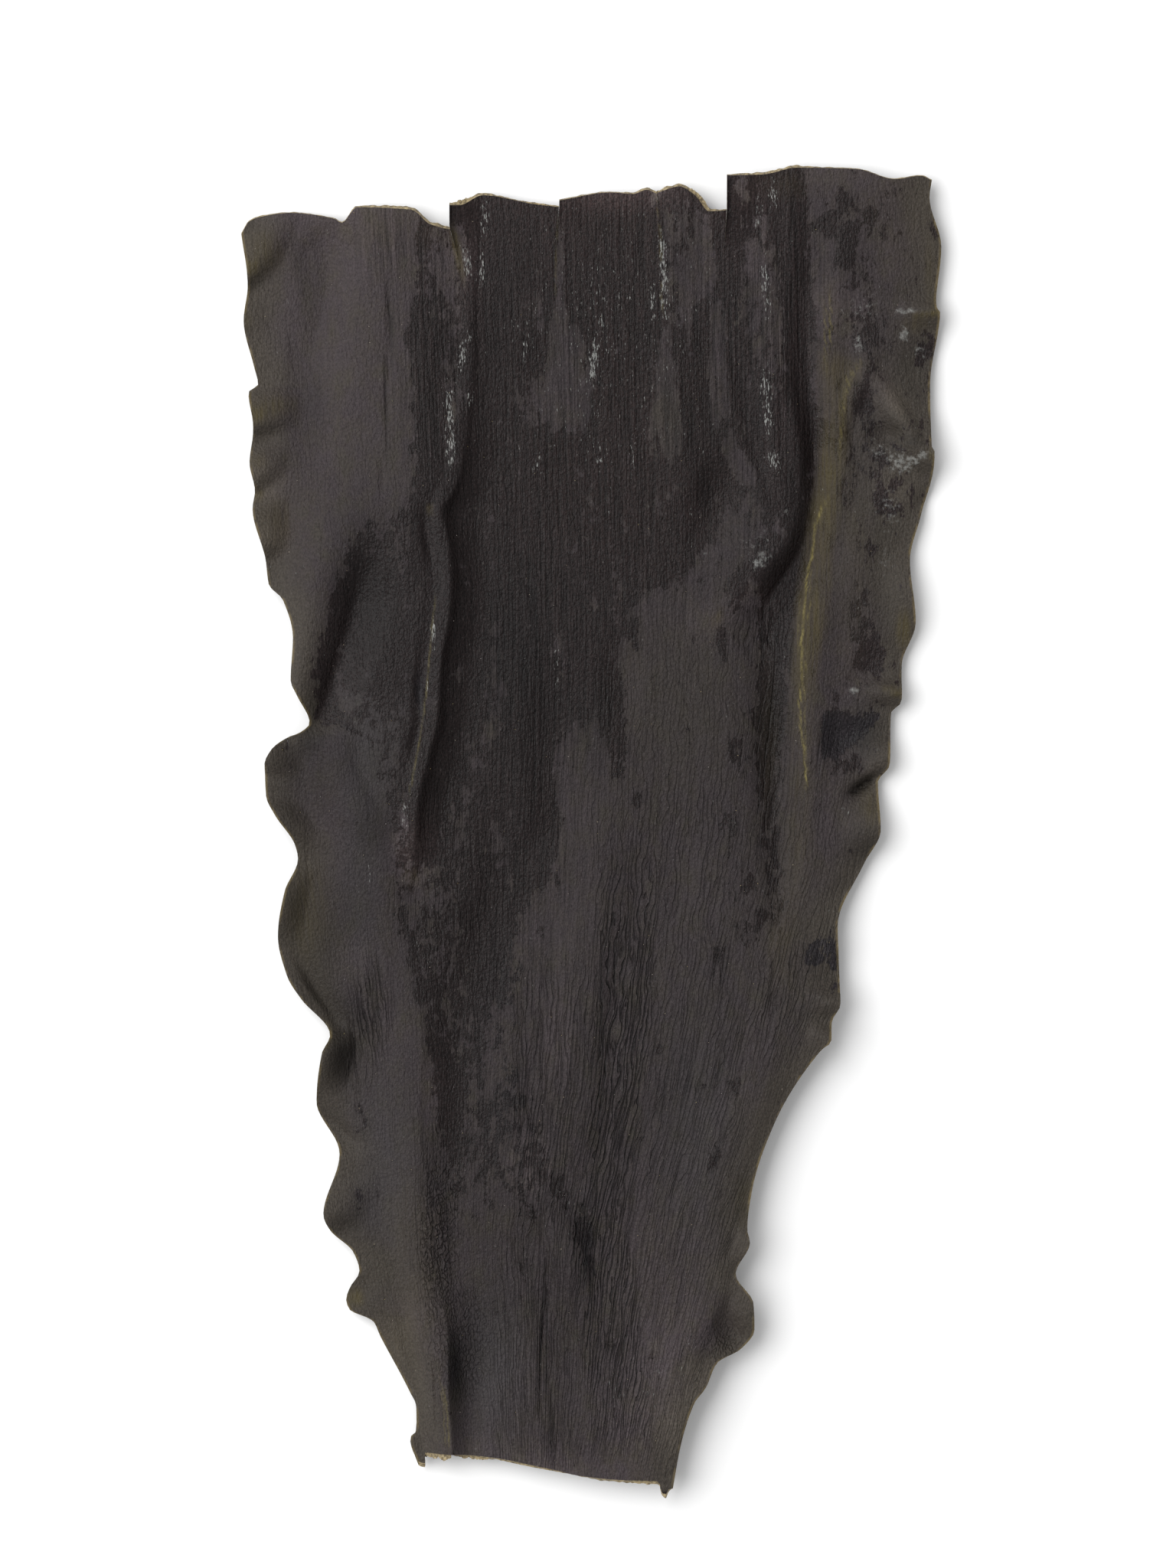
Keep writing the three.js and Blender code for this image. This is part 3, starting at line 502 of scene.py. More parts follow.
# Where the skin dried to small pebbles, and where it shows straight lines.
PEBBLED = [
    (-32, -134, 9, 26, 0.6), (-40, -128, 7, 40, 0.5), (-40, -103, 8, 28, 0.9),
    (34, -134, 9, 9, 0.6),
]
LINED = [
    (4, 115, 66, 120, 1), (50, 130, 30, 80, 0.6), (-44, 130, 12, 60, 0.5), (-16, 20, 34, 80, 0.8),
    (0, -80, 60, 90, 0.6), (-40, 115, 8, 50, 0.5), (53, 130, 5, 50, 0.6), (-55, 153, 10, 18, 1),
]
# Narrow places where the skin split in long fine cracks.
CRACKED = [
    (-52.6, 118, 3, 40, 1), (-10.5, 60, 3, 90, 0.9), (-20.5, 108, 3, 26, 0.9),
    (-12.6, -135, 4, 34, 1), (-8, -158, 5, 18, 0.9), (-19, -150, 6, 20, 0.6),
    (22, -106, 4, 34, 0.8), (27, -66, 8, 22, 0.8, -60), (47, -44, 4, 26, 0.8),
    (-37, -106, 4, 24, 0.9), (-4, -58, 4, 30, 0.8, -8), (4, -66, 3, 34, 0.6), (47, 40, 4, 34, 0.7),
    (-57, -42, 6, 20, 0.7), (35, -36, 5, 16, 0.7), (58, 20, 5, 12, 0.7), (24, -140, 4, 16, 0.7),
]


def painted(places):
    return sum(spot(grid_x, grid_y, *place) for place in places)


wrinkled = TOP_WRINKLES + painted(WRINKLED)
wrinkled += sum(band(rows, WRINKLED_BORDER) for rows in WRINKLED_BANDS.values())
pebbled = painted(PEBBLED)
width = right_margin(grid_y) - left_margin(grid_y)


def wrinkles(blade_width, seed):
    """Rounded ridges with narrow furrows between them, spaced for that width of blade."""
    sway = WRINKLE_SWAY * smooth_noise(grid_x / 5, grid_y / 4, seed + 1)
    u = (across - 0.5) * blade_width / WRINKLE_SPACING + sway
    ridges = np.abs(smooth_noise(u, grid_y / WRINKLE_LENGTH, seed)) * FURROW_NARROWNESS
    return np.minimum(ridges, 1) - WRINKLE_MEAN


narrow = wrinkles(NARROW_BLADE, seed=11)
broad = wrinkles(BROAD_BLADE, seed=23)
share = smooth_step(NARROW_UP_TO, BROAD_FROM, width)
upper_z = upper_z + WRINKLE_DEPTH * wrinkled * (narrow * (1 - share) + broad * share)
upper_z += PEBBLE_DEPTH * pebbled * smooth_noise(grid_x / 1.3 - grid_y / 3, grid_y / 1.1, 31)

# Single deep creases: path as (y, x), depth, half width.
CREASES = [
    ([(-108, -11.2), (-122, -11.8), (-134, -12.8), (-156, -13.6)], 0.6, 0.8),
    ([(-138, -11.2), (-152, -10), (-167, -8.4)], 0.5, 0.8),
    ([(-85, 22), (-105, 21.5)], 0.3, 0.8),
    ([(-133, 24), (-143, 24)], 0.4, 0.8),
    ([(-95, -39), (-110, -37.4), (-120, -36.2)], 0.4, 0.8),
    ([(146, -52.4), (120, -52.8), (104, -53.2)], 0.5, 0.9),
    ([(98, -54.6), (86, -54.2)], 0.5, 0.9),
    ([(160, -75.6), (152, -78.6), (143, -84)], 0.7, 1.1),
    ([(159, -77.4), (152, -80.2), (145, -85)], 0.5, 1.0),
    ([(-49, -62.8), (-58, -61.8), (-67, -64)], 0.8, 1.0),
    ([(-136, -41.2), (-147, -40.6), (-158, -40.4)], 0.35, 0.6),
    ([(5, -73.4), (-8, -73.8), (-20, -73.4)], 0.2, 0.6),
    ([(-20, 47.6), (-34, 47.2), (-52, 46.4)], 0.25, 0.6),
]


def beside(path, ends, wander):
    """How far each point lies to the right of a path (y, x), and 1 along it, 0 off its ends."""
    above, under = max(path)[0] - grid_y, grid_y - min(path)[0]
    inside = np.clip(above / ends, 0, 1) * np.clip(under / ends, 0, 1)
    return grid_x - curve_through(path)(grid_y) - wander, inside


wander = CREASE_WANDER * smooth_noise(grid_y / 3, grid_y * 0, 47)
for path, depth, half_width in CREASES:
    aside, inside = beside(path, CREASE_END, wander)
    upper_z -= depth * inside * bump(aside / half_width)


# ---- The blade's mesh --------------------------------------------------------------------
# One closed skin: the wrinkled upper side, a calmer underside with fewer faces, and a rim
# between them. At the torn ends the rim slants out, because the lower layers tear later.

UNDERSIDE_COLUMNS = 3            # the underside has every third column
UNDERSIDE_ROWS = 2               # and every second row
SHARP_ANGLE = 50                 # edges sharper than this, in degrees, aren't shaded round
# How far the lower layers stand out beyond the skin, as (x, length).
FRAY_AT_TOP = [
    (-91, 0.5), (-70, 0.4), (-60, 0.8), (-47, 1.3), (-37, 1.3), (-35, 1.4), (-28, 1.1),
    (-20, 0.5), (-9, 0.6), (5, 0.5), (17, 1.1), (24, 1.2), (30, 1.8), (34, 0.5), (40, 0.9),
    (52, 1.1), (60, 0.5), (89, 0.4),
]
FRAY_AT_BASE = [
    (-47, 0.4), (-44, 1.7), (-42.5, 1.4), (-38, 0.3), (-27, 0.9), (-15, 0.5), (-4, 0.3),
    (2, 0.9), (16, 1.1), (19, 1.4), (21, 0.5),
]

roots = {}
for c, column in enumerate(columns):
    if column["side"]:
        roots[c] = int(np.argmax(grid_y[:, c] <= column["tear"]["root"]))
index = np.arange(grid_x.size).reshape(grid_x.shape)
for c, root in roots.items():
    if columns[c]["side"] > 0:
        index[root:, c] = index[root:, c - 1]


def is_slit(c):
    """Between column c and the next one lies a tear, and no faces."""
    return columns[c]["side"] < 0


def is_border(k, c):
    return k in (0, ROWS) or c in (0, last) or (c in roots and k <= roots[c])


def cell(rows, cols):
    """The border points of one cell of the underside, and those between on a free edge."""
    (top, bottom), (start, end) = rows, cols
    down = [(k, start) for k in range(top, bottom) if k == top or is_border(k, start)]
    right = [(bottom, c) for c in range(start, end) if c == start or bottom == ROWS]
    up = [(k, end) for k in range(bottom, top, -1) if k == bottom or is_border(k, end)]
    left = [(top, c) for c in range(end, start, -1) if c == end or top == 0]
    return [index[k, c] for k, c in down + right + up + left]


upper_faces = []
for c in range(last):
    if not is_slit(c):
        upper_faces += [
            (index[k, c], index[k + 1, c], index[k + 1, c + 1], index[k, c + 1])
            for k in range(ROWS)
        ]
stops = sorted({0, last, *roots, *range(0, last, UNDERSIDE_COLUMNS)})
levels = sorted({0, ROWS, *range(0, ROWS, UNDERSIDE_ROWS)})
lower_faces = []
for start, end in zip(stops, stops[1:]):
    if not is_slit(start):
        lower_faces += [cell(rows, (start, end))[::-1] for rows in zip(levels, levels[1:])]

edges = {(a, b) for face in upper_faces for a, b in zip(face, face[1:] + face[:1])}
rim_edges = sorted((a, b) for a, b in edges if (b, a) not in edges)
below = grid_x.size
rim_faces = [(b, a, a + below, b + below) for a, b in rim_edges]
lower_faces = [[i + below for i in face] for face in lower_faces]

# The torn ends fray: their lower edge stands out beyond the skin, by 0.3 to 1 of that length.
fray = 0.65 + 0.35 * smooth_noise(grid_x / 1.7, grid_y * 0, 5)
lower_y = grid_y.copy()
lower_y[0] += curve_through(FRAY_AT_TOP)(grid_x[0]) * fray[0]
lower_y[-1] -= curve_through(FRAY_AT_BASE)(grid_x[-1]) * fray[-1]

points = np.concatenate([
    np.stack([grid_x, grid_y, upper_z], axis=-1).reshape(-1, 3),
    np.stack([grid_x, lower_y, lower_z], axis=-1).reshape(-1, 3),
])
faces = [list(face) for face in upper_faces + lower_faces + rim_faces]
used = np.unique(np.concatenate([np.array(face) for face in faces]))
renumber = np.zeros(len(points), int)
renumber[used] = np.arange(len(used))
faces = [renumber[face].tolist() for face in faces]
points = points[used]
cad_low, cad_high = (np.array(corner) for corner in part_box("kelp_sheet"))
middle = (points.min(0) + points.max(0)) / 2
shift = (cad_low + cad_high) / 2 / MM - middle
points[:, :2] += shift[:2]


def add_object(name, data):
    made = bpy.data.objects.new(name, data)
    bpy.context.scene.collection.objects.link(made)
    return made


def add_mesh_object(name, points, faces):
    """An object with a mesh of its own, from points in millimetres."""
    mesh = bpy.data.meshes.new(name)
    mesh.from_pydata((np.array(points) * MM).tolist(), [], faces)
    return add_object(name, mesh)


blade = add_mesh_object("kelp_blade", points, faces)
blade_mesh = blade.data
blade_mesh.polygons.foreach_set("use_smooth", [True] * len(faces))
blade_mesh.set_sharp_from_angle(angle=math.radians(SHARP_ANGLE))


# ---- The skin ----------------------------------------------------------------------------
# Near-black leathery skin. A dull grey film of dried juices covers much of it in blotches,
# the bare skin between is darker and redder, and thin places are olive. Painted highlights on lit
# folds, frills and edges, and painted shade on shaded ones, are laid into its colour.

# Where the film lies: bands as rows of (y, left border, right border, strength), and round
# places (x, y, radius along x, radius along y, strength, turn). Where the sum is below 0 the
# skin is bare.
FILM_BORDER = 3                  # a band's border is drawn out over this length to both sides
FILM_BANDS = {
    "left_side": [
        (176, -100, -44, 2.75), (150, -100, -46, 2.75), (135, -100, -48, 2.85),
        (120, -100, -47, 2.85), (98, -100, -45.5, 2.75), (88, -100, -47, 2.55),
        (82, -100, -58, 2.45), (70, -100, -65, 2.45), (60, -100, -68, 2.45), (40, -100, -72, 2.45),
        (30, -100, -72, 2.25), (22, -100, -58, 2.25), (5, -100, -54, 2.35), (-20, -100, -52, 2.45),
        (-42, -100, -47, 2.45), (-60, -100, -42, 2.45), (-80, -100, -39, 2.5),
        (-100, -100, -38, 2.55), (-140, -100, -40, 2.65), (-170, -100, -38, 2.65)],
    "right_side": [
        (176, 56, 100, 1.9), (150, 56, 100, 1.7), (135, 56, 100, 1.7), (120, 57, 100, 1.7),
        (100, 58, 100, 1.6), (60, 54, 100, 1.8), (40, 52, 100, 1.6), (20, 49.5, 100, 2),
        (0, 48, 100, 2.3), (-32, 49, 100, 2.2), (-44, 49, 100, 0)],
    "middle": [
        (82, 33, 42, 0), (74, 30, 43, 1.3), (67, 25, 43, 1.7), (61, 15, 44, 1.7), (54, 12, 44, 2),
        (45, 6, 44, 2.2), (38, 9, 44, 2.25), (22, 9.5, 44, 2.25), (15, 8, 44, 2.25),
        (8, -6, 44, 2.35), (0, -9, 45, 2.35), (-10, -10, 46, 2.35), (-20, -17, 47, 2.25),
        (-32, -20, 49, 2.25), (-44, -20, 100, 2.25), (-60, -18, 100, 2.25), (-80, -12, 100, 2.25),
        (-95, -5, 100, 2.25), (-110, 2, 100, 2.25), (-135, -12, 100, 2.25), (-150, -34, 100, 2.25),
        (-172, -34, 100, 2.35)],
    "left_of_the_middle": [
        (30, -30, -24, 0), (20, -34, -26, 0.6), (0, -40, -25, 0.6), (-20, -48, -20, 0.5),
        (-40, -50, -20, 0.6), (-60, -37, -17, 1.15), (-80, -34, -11, 1.1), (-95, -39, -4, 1.3),
        (-110, -43, 2, 2.05), (-135, -43, -10, 2.15), (-152, -42, -30, 1.5),
        (-172, -42, -32, 1.5)],
    "left_of_the_fold": [
        (92, -60, -46, 0), (84, -62, -46, 1), (60, -66, -46, 0.8), (40, -68, -46, 0.9),
        (25, -66, -48, 1.1), (5, -56, -48, 0.9), (-15, -52, -44, 0.9), (-30, -52, -44, 0)],
}
# Small patches with a sharper border.
PATCH_BORDER = 0.9
FILM_PATCHES = {
    "left_patch": [
        (138, -9.4, -7.6, 0), (134, -9.8, -5, 1.5), (128, -11, -1.4, 1.8), (118, -11.6, 0, 1.95),
        (108, -11, -0.4, 1.95), (104.5, -10, -1, 1.5), (102, -9, -2, 0)],
    "beside_the_tear": [
        (160, -8.4, -7.2, 0), (150, -9, -7, 1.8), (134, -9.4, -7, 1.8), (130, -9, -7, 0)],
    "right_patch": [
        (134, 18.2, 19.8, 0), (128, 18, 20.8, 1.5), (118, 16.8, 22, 1.8), (110, 15.6, 22.8, 1.95),
        (103, 14.6, 24, 1.55), (99, 15, 23.6, 1.3), (95, 17, 23, 0)],
    "far_right_patch": [
        (143, 31, 34, 0), (134, 31, 34.8, 1.55), (124, 30.6, 35.2, 1.8), (116, 30.4, 35.8, 1.6),
        (108, 31.6, 36.4, 1.55), (101, 33.5, 38, 1.55), (95, 35.5, 42, 1.6), (88, 39, 46, 0)],
    "below_the_top": [
        (163, 18.6, 31, 0), (156, 19, 32.6, 1.35), (145, 19, 33, 1.4), (135, 19.6, 27, 1.2),
        (127, 21, 25, 0)],
    "between_the_fingers": [
        (32, -8, 1, 0), (24, -9, 3, 1.2), (16, -10, 5, 2), (8, -9, 4, 1.6), (4, -9, 0, 0)],
}
BARE_LEVEL = -1.0
FILM = [
    (27, 130, 9, 50, 0.3), (22, 158, 14, 22, 0.4), (-14, 112, 7, 10, 1.3), (-14, 135, 4, 8, 1),
    (-20, 102, 7, 22, 0.3), (-37, 144, 9, 24, 1.6), (-36, 115, 5, 36, 0.8),
    (44, 136, 10, 50, 1.35), (53, 135, 3, 50, -1.4), (42, 78, 14, 11, 1.9, -28),
    (42, 89, 6, 8, 0.8), (-25, 42, 5, 30, 1.2), (3, 58, 13, 12, 0.6), (-2, 172, 90, 12, 0.7),
    (3, 78, 34, 26, 0.45), (11.4, 50, 2.2, 7, -2.4), (12, 7.5, 2.8, 4.5, -1.9),
    (34, 49, 2.4, 4.5, -3), (34.5, 45, 2, 3, -1.8), (38, 64, 4, 7, -2.4), (-9.5, -2, 1.8, 6, -1.8),
    (-9, -14, 2, 4, -1.8), (36, 0, 4, 14, -1.4), (38, 20, 3.4, 8, -1.1), (41, -14, 4, 10, -1.5),
    (43, -26, 7, 9, -1.9), (36, -22, 4, 12, -1.2), (33, -33, 3.4, 9, -1.2),
    (-13, -27, 2.2, 3, -1.8), (-18, -36, 3, 3, -1.2), (37.5, -66, 4, 5, -1.4),
    (18, -56, 1.6, 3.5, -1.6), (30, -66, 2, 3, -1), (-10, -92, 6, 9, -0.6),
    (-60, -76, 4.5, 9, -0.9), (-58, -95, 9, 7, -1.2), (-1.6, -107, 4, 15, -1.6, 12),
    (-15, -122, 7, 14, -0.9), (-18, -112, 4, 6, -0.9), (32, -85, 4, 6, -1.5),
    (15, -138, 7, 6, -0.9), (61.5, 158, 3.4, 7, -2.2), (65.5, 164, 3.4, 4, -2),
    (67, 154, 4, 5, -2.2), (73, 160, 3, 4, -1.4), (66, 149, 4, 4, -2), (60.5, 166, 2.6, 3, -1.4),
    (57, 134, 2.8, 9, -1.8), (70, 144, 5, 4, -1.2, 30), (70, 134, 6, 5, -1), (73, 128, 5, 6, -1),
    (71.4, 112, 4, 8, -1.5), (79, 111, 9, 9, 0.9), (74, 96, 5, 8, -0.9), (76, 86, 4, 8, -1.4),
    (72, 75, 5, 9, -1.1), (70, 58, 5, 10, -1.1), (73, 47, 6, 11, -1.4), (66, 17, 7, 4, -1.6, 20),
    (57, 135, 2, 5, -1.4), (30.4, 127, 2, 9, -1.2), (34.5, 105, 1.6, 4, -2.4),
    (-46.5, 110, 1.6, 2, -2.4), (-47, 100, 2, 2, -2.4), (-48, 128, 1.8, 3, -1.6),
    (-2, 121, 1.4, 3, -1.4), (-47, -60, 8, 20, 0.8), (-56, 54, 15, 28, -1.5),
    (87, 125, 5, 8, -1.6), (42, 76, 6, 6, -0.8),
]
# Olive colour of thin skin, and painted olive highlights where the frill tips catch the light:
# places along crests and at the margins, then bands along a ridge, its branch and a tear.
OLIVE_AND_GLINTS = [
    # The places at the frill tips of both margins on the next lines are painted highlights.
    (-74, -20, 8, 20, 0.3), (-77, 30, 5, 8, 0.3), (-86, 151, 9, 8, 0.4, 30),
    (-89, 146.5, 2.6, 4, 0.9, -30), (-90.5, 133, 3, 3, 0.5), (-84, 110, 9, 5, 0.45, 15),
    (-87.5, 108, 3, 3.4, 0.8, -30), (-87, 96, 4, 3, 0.3), (-87, 87.5, 2.6, 2, 0.9),
    (-82, 80, 8, 9, 0.3), (88, 134.5, 6, 1.6, 0.9, 10), (85, 132, 6, 4, 0.3),
    (89, 97.8, 2.6, 1.4, 0.9), (81.5, 52, 3, 8, 0.7), (79, 36, 5, 1.6, 0.6, -15),
    (72.5, 6, 3.4, 7, 0.5), (-61.6, -122, 3.4, 3.6, 0.9), (-68.5, -53, 1.6, 5, 0.6),
    (80, 160, 14, 22, 0.12), (89, 145, 3, 14, 0.3), (-46, -118, 12, 44, 0.15),
    (50, -30, 6, 20, 0.2), (40, -97, 4, 10, 0.3), (-54, -138, 9, 12, 0.15, -30),
    (33, 55, 2.4, 4, 0.4, -20), (-42, 83.5, 1.6, 1.6, 0.6), (-47, -12, 3, 4, 0.3),
    (63, 121, 4, 5, 0.2), (68, 70, 6, 50, 0.12), (46, 24, 5, 30, 0.12), (-54, 156, 22, 8, 0.12),
    (50, 168, 14, 5, 0.15),
]
OLIVE_RIDGE = [
    (146, 60, 64, 0), (138, 60.5, 64, 0.2), (127, 60, 64, 0.2), (122, 59, 67, 0.3),
    (112, 60, 66.6, 0.35), (104, 60, 66.6, 0.7), (96, 59.5, 66, 0.8), (90, 59, 65, 0.75),
    (80, 57, 63.5, 0.75), (70, 55.5, 62.5, 0.7), (60, 54, 62, 0.65), (50, 53, 60, 0.6),
    (40, 52.5, 58.6, 0.4), (25, 52, 58, 0.2), (10, 52, 57.5, 0.25), (-5, 51, 57, 0.2),
    (-30, 48, 55, 0),
]
OLIVE_BRANCH = [
    (124, 69, 73, 0), (121, 67.4, 72, 0.3), (116, 65, 69.5, 0.3), (110, 64.4, 67.6, 0.4),
    (104, 63.5, 66.5, 0),
]
OLIVE_TEAR = [
    (158, -36.8, -35.8, 0), (155, -36.6, -34.8, 0.6), (150, -35.6, -33.8, 0.7),
    (145, -34.4, -32.8, 0.5), (141, -33.4, -32.4, 0),
]
OLIVE_BORDER = 2.0
SHARP_BORDER = 0.5
# Where the white bloom of the blade dried onto it in dashes.
BLOOM = [
    (-27.6, 160, 2.4, 8, 1.3), (-28.4, 147, 2.2, 9, 1.3), (-32.6, 149, 2.4, 9, 1.4, 14),
    (-33.4, 124, 2.6, 10, 1.3, -14), (-37, 112, 2.8, 8, 1.3), (-36.6, 101, 2.4, 13, 1.4),
    (-31.6, 113, 2, 6, 1.2, -20), (-17, 127, 1.4, 9, 0.9, -8), (-19.4, 160, 1.4, 6, 0.6),
    (-14, 96, 3, 7, 0.7), (0.6, 122, 1.8, 10, 1.1, -6), (3, 132, 1.2, 4, 0.7), (2, 98, 3, 8, 0.6),
    (11, 100, 1.6, 14, 0.5), (18.8, 146, 2, 20, 1.2, 3), (16, 139, 1.4, 10, 0.7),
    (5, 150, 10, 20, 0.15), (26, 80, 3, 12, 0.6), (43.4, 160, 2.2, 10, 1.3),
    (47.4, 165, 2, 8, 1.3), (45.4, 141, 2.2, 16, 1.3, 3), (45.6, 116, 3.4, 9, 1.3),
    (46, 106, 2.6, 9, 1.2), (47.6, 96.6, 3.2, 7, 1.2, 10), (-9, 42, 1.6, 16, 0.8),
    (-41, 52, 1.4, 9, 1.4), (-42.6, 36, 1, 8, 0.8), (-48.4, 3, 2.2, 8, 1.1),
    (-46, 14, 2.4, 12, 0.6, -16), (-57.8, -12, 1.2, 4, 0.8), (-50.6, -33, 1.2, 8, 0.5),
    (62, -22, 2, 6, 0.5), (66.5, 5.6, 2, 3, 0.9, -30), (4, 128, 46, 60, 0.5),
    (6, -145, 5, 10, 0.5), (15, -146, 5, 12, 0.5), (26, -133, 2, 6, 0.7),
    (23.5, -140, 1.2, 6, 0.9), (36, 164, 3, 8, 0.4), (-45, -34, 10, 40, 0.2),
    (-5, -96, 16, 16, 0.25), (-22, -112, 14, 12, 0.3),
]
# Where the bloom dried to small round spots instead.
CRUST = [
    (82, 135.4, 5, 1.8, 1.2, 5), (81.6, 129, 2, 3.4, 1.3), (86, 125, 3.4, 3, 0.9),
    (81, 95.6, 6, 4.6, 1.2), (86, 97.4, 4, 2, 1.2, 20), (76, 99, 4, 4, 0.5, -40),
    (78, 84, 5, 11, 0.65), (74, 100, 4, 8, 0.4), (68.4, 36.6, 2.4, 2.4, 1.1),
    (44, 70, 5, 2.6, 0.9, 30), (30, 72, 5, 1.6, 0.6), (43, 74, 8, 8, 0.5), (69.6, 127, 2.4, 4, 1),
    (77, 70, 3, 8, 0.5), (70, 60, 3, 6, 0.3), (51, 82.6, 1, 2, 1), (71, 136, 8, 5, 0.6),
    (-65, 130, 6, 5, 0.15), (17, -140, 6, 7, 0.3), (-60, 53, 8, 4, 0.15), (33, -96, 3, 3, 0.4),
    (64, -20, 2, 5, 0.4), (-48, 52, 3, 6, 0.2), (43, 130.4, 4, 0.8, 0.7),
]
VEIN_END = 4                     # a yellow line fades out over this length
VEIN_WANDER = 0.4                # and wanders aside by about this
# Thin yellow lines where the skin cracked along a crest, and one painted highlight along the lit
# crest of the main fold: path as (y, x), half width, strength.
VEINS_AND_CREST_HIGHLIGHT = [
    ([(88, 62.7), (83, 59.8), (78, 58.3), (72, 57.8), (68, 56.6), (62, 56), (54, 55.2),
      (47, 54.8), (40, 55), (35, 54.4), (28, 54.5), (20, 55.6), (10, 56.2)], 0.4, 1.0),
    ([(84, 60.4), (70, 57.2), (60, 57), (52, 56)], 0.3, 0.5),
    ([(62, 54.6), (50, 54), (44, 54.2)], 0.3, 0.5),
    ([(48, 56), (36, 55.6), (26, 55.6), (14, 56.8)], 0.3, 0.5),
    ([(142, 62), (134, 62.4), (124, 62.2)], 0.35, 0.6),
    ([(139, 61), (128, 61), (118, 61.4)], 0.3, 0.4),
    ([(123.6, 71.6), (119, 68.4), (113, 66.4), (106, 65.4), (96, 64.6)], 0.4, 0.45),
    ([(122, 70), (117, 66.8), (108, 64.6)], 0.3, 0.4),
    ([(-144, -38.4), (-152, -37.4), (-162, -36.8)], 0.35, 0.6),
    ([(-141, -39.4), (-150, -38.4), (-161, -37.8)], 0.3, 0.4),
    ([(166, 17.2), (152, 18.2), (134, 18.6)], 0.25, 0.35),
    ([(163, -8.3), (150, -9.2), (138, -9.4)], 0.25, 0.2),
    # A painted highlight along the lit crest of the main fold.
    ([(62, -40.4), (50, -41.6), (35, -43), (20, -45.2), (8, -47.6)], 0.4, 0.35),
    ([(57, 34), (53, 31.6)], 0.3, 0.6),
    ([(35, -56.6), (31, -57.4)], 0.25, 0.4),
]
# Where the bare skin is redder.
BROWN = [(10, 105, 50, 75, 0.9), (8, 160, 50, 14, 0.4), (4, 30, 8, 30, 0.6)]
# Where the film is cooler and where it is warmer than elsewhere.
COOL = [
    (-58, -96, 20, 50, 0.6), (-60, -10, 9, 44, 0.5), (-57, 34, 14, 40, 0.6),
    (-26, -140, 14, 30, 0.7), (28, -80, 16, 50, 0.4), (72, 26, 12, 12, 0.6),
]
WARM = [
    (76, 90, 20, 60, 0.8), (22, 34, 26, 34, 0.5), (20, 106, 10, 20, 0.6), (50, -20, 14, 50, 0.4),
    (-70, -32, 10, 26, 0.7), (-50, -122, 16, 40, 0.5),
]
WARM_EDGE = 14                   # the film is warm from the margins to this far in
# Where the bare skin is bluer.
HOLLOW_BLUE = [
    (2, -112, 10, 20, 0.5), (-20, -60, 16, 50, 0.3), (-58, -90, 10, 24, 0.4),
    (-62, 18, 3, 16, 0.5, 10), (-66, -62, 6, 10, 0.3), (-44.6, 36, 2, 8, 0.6),
]
# Two bare, bluish hollows at the right margin, with straight borders.
HOLLOWS_AT_RIGHT = [
    [(32, 60, 73, 0), (30.5, 60, 76, 0.6), (28, 60, 74, 1), (24, 60, 70, 1), (20, 60, 66, 1),
     (17, 60, 62, 0.5), (15, 60, 61, 0)],
    [(-23, 62, 64, 0), (-26, 60, 70, 0.7), (-31, 56, 70, 1), (-40, 54.5, 70, 1),
     (-42.6, 54.5, 70, 0.6), (-43.4, 55, 70, 0)],
]
HOLLOW_BARENESS = 1.7            # how far they push the film off the skin
HOLLOW_BLUENESS = 0.6

# The grain of the blade runs along these: y with x of its middle line, y with how far its
# lines are apart at that height, against 1 mm.
GRAIN_CENTRE = [(172, 0), (50, 2), (0, 0), (-60, -4), (-110, -10), (-172, -12)]
GRAIN_SPREAD = [(172, 1.05), (50, 1.0), (0, 0.95), (-60, 0.8), (-110, 0.65), (-172, 0.45)]

hollows_at_right = sum(band(rows, SHARP_BORDER) for rows in HOLLOWS_AT_RIGHT)
film_level = BARE_LEVEL + painted(FILM) - HOLLOW_BARENESS * hollows_at_right
film_level += sum(band(rows, FILM_BORDER) for rows in FILM_BANDS.values())
film_level += sum(band(rows, PATCH_BORDER) for rows in FILM_PATCHES.values())
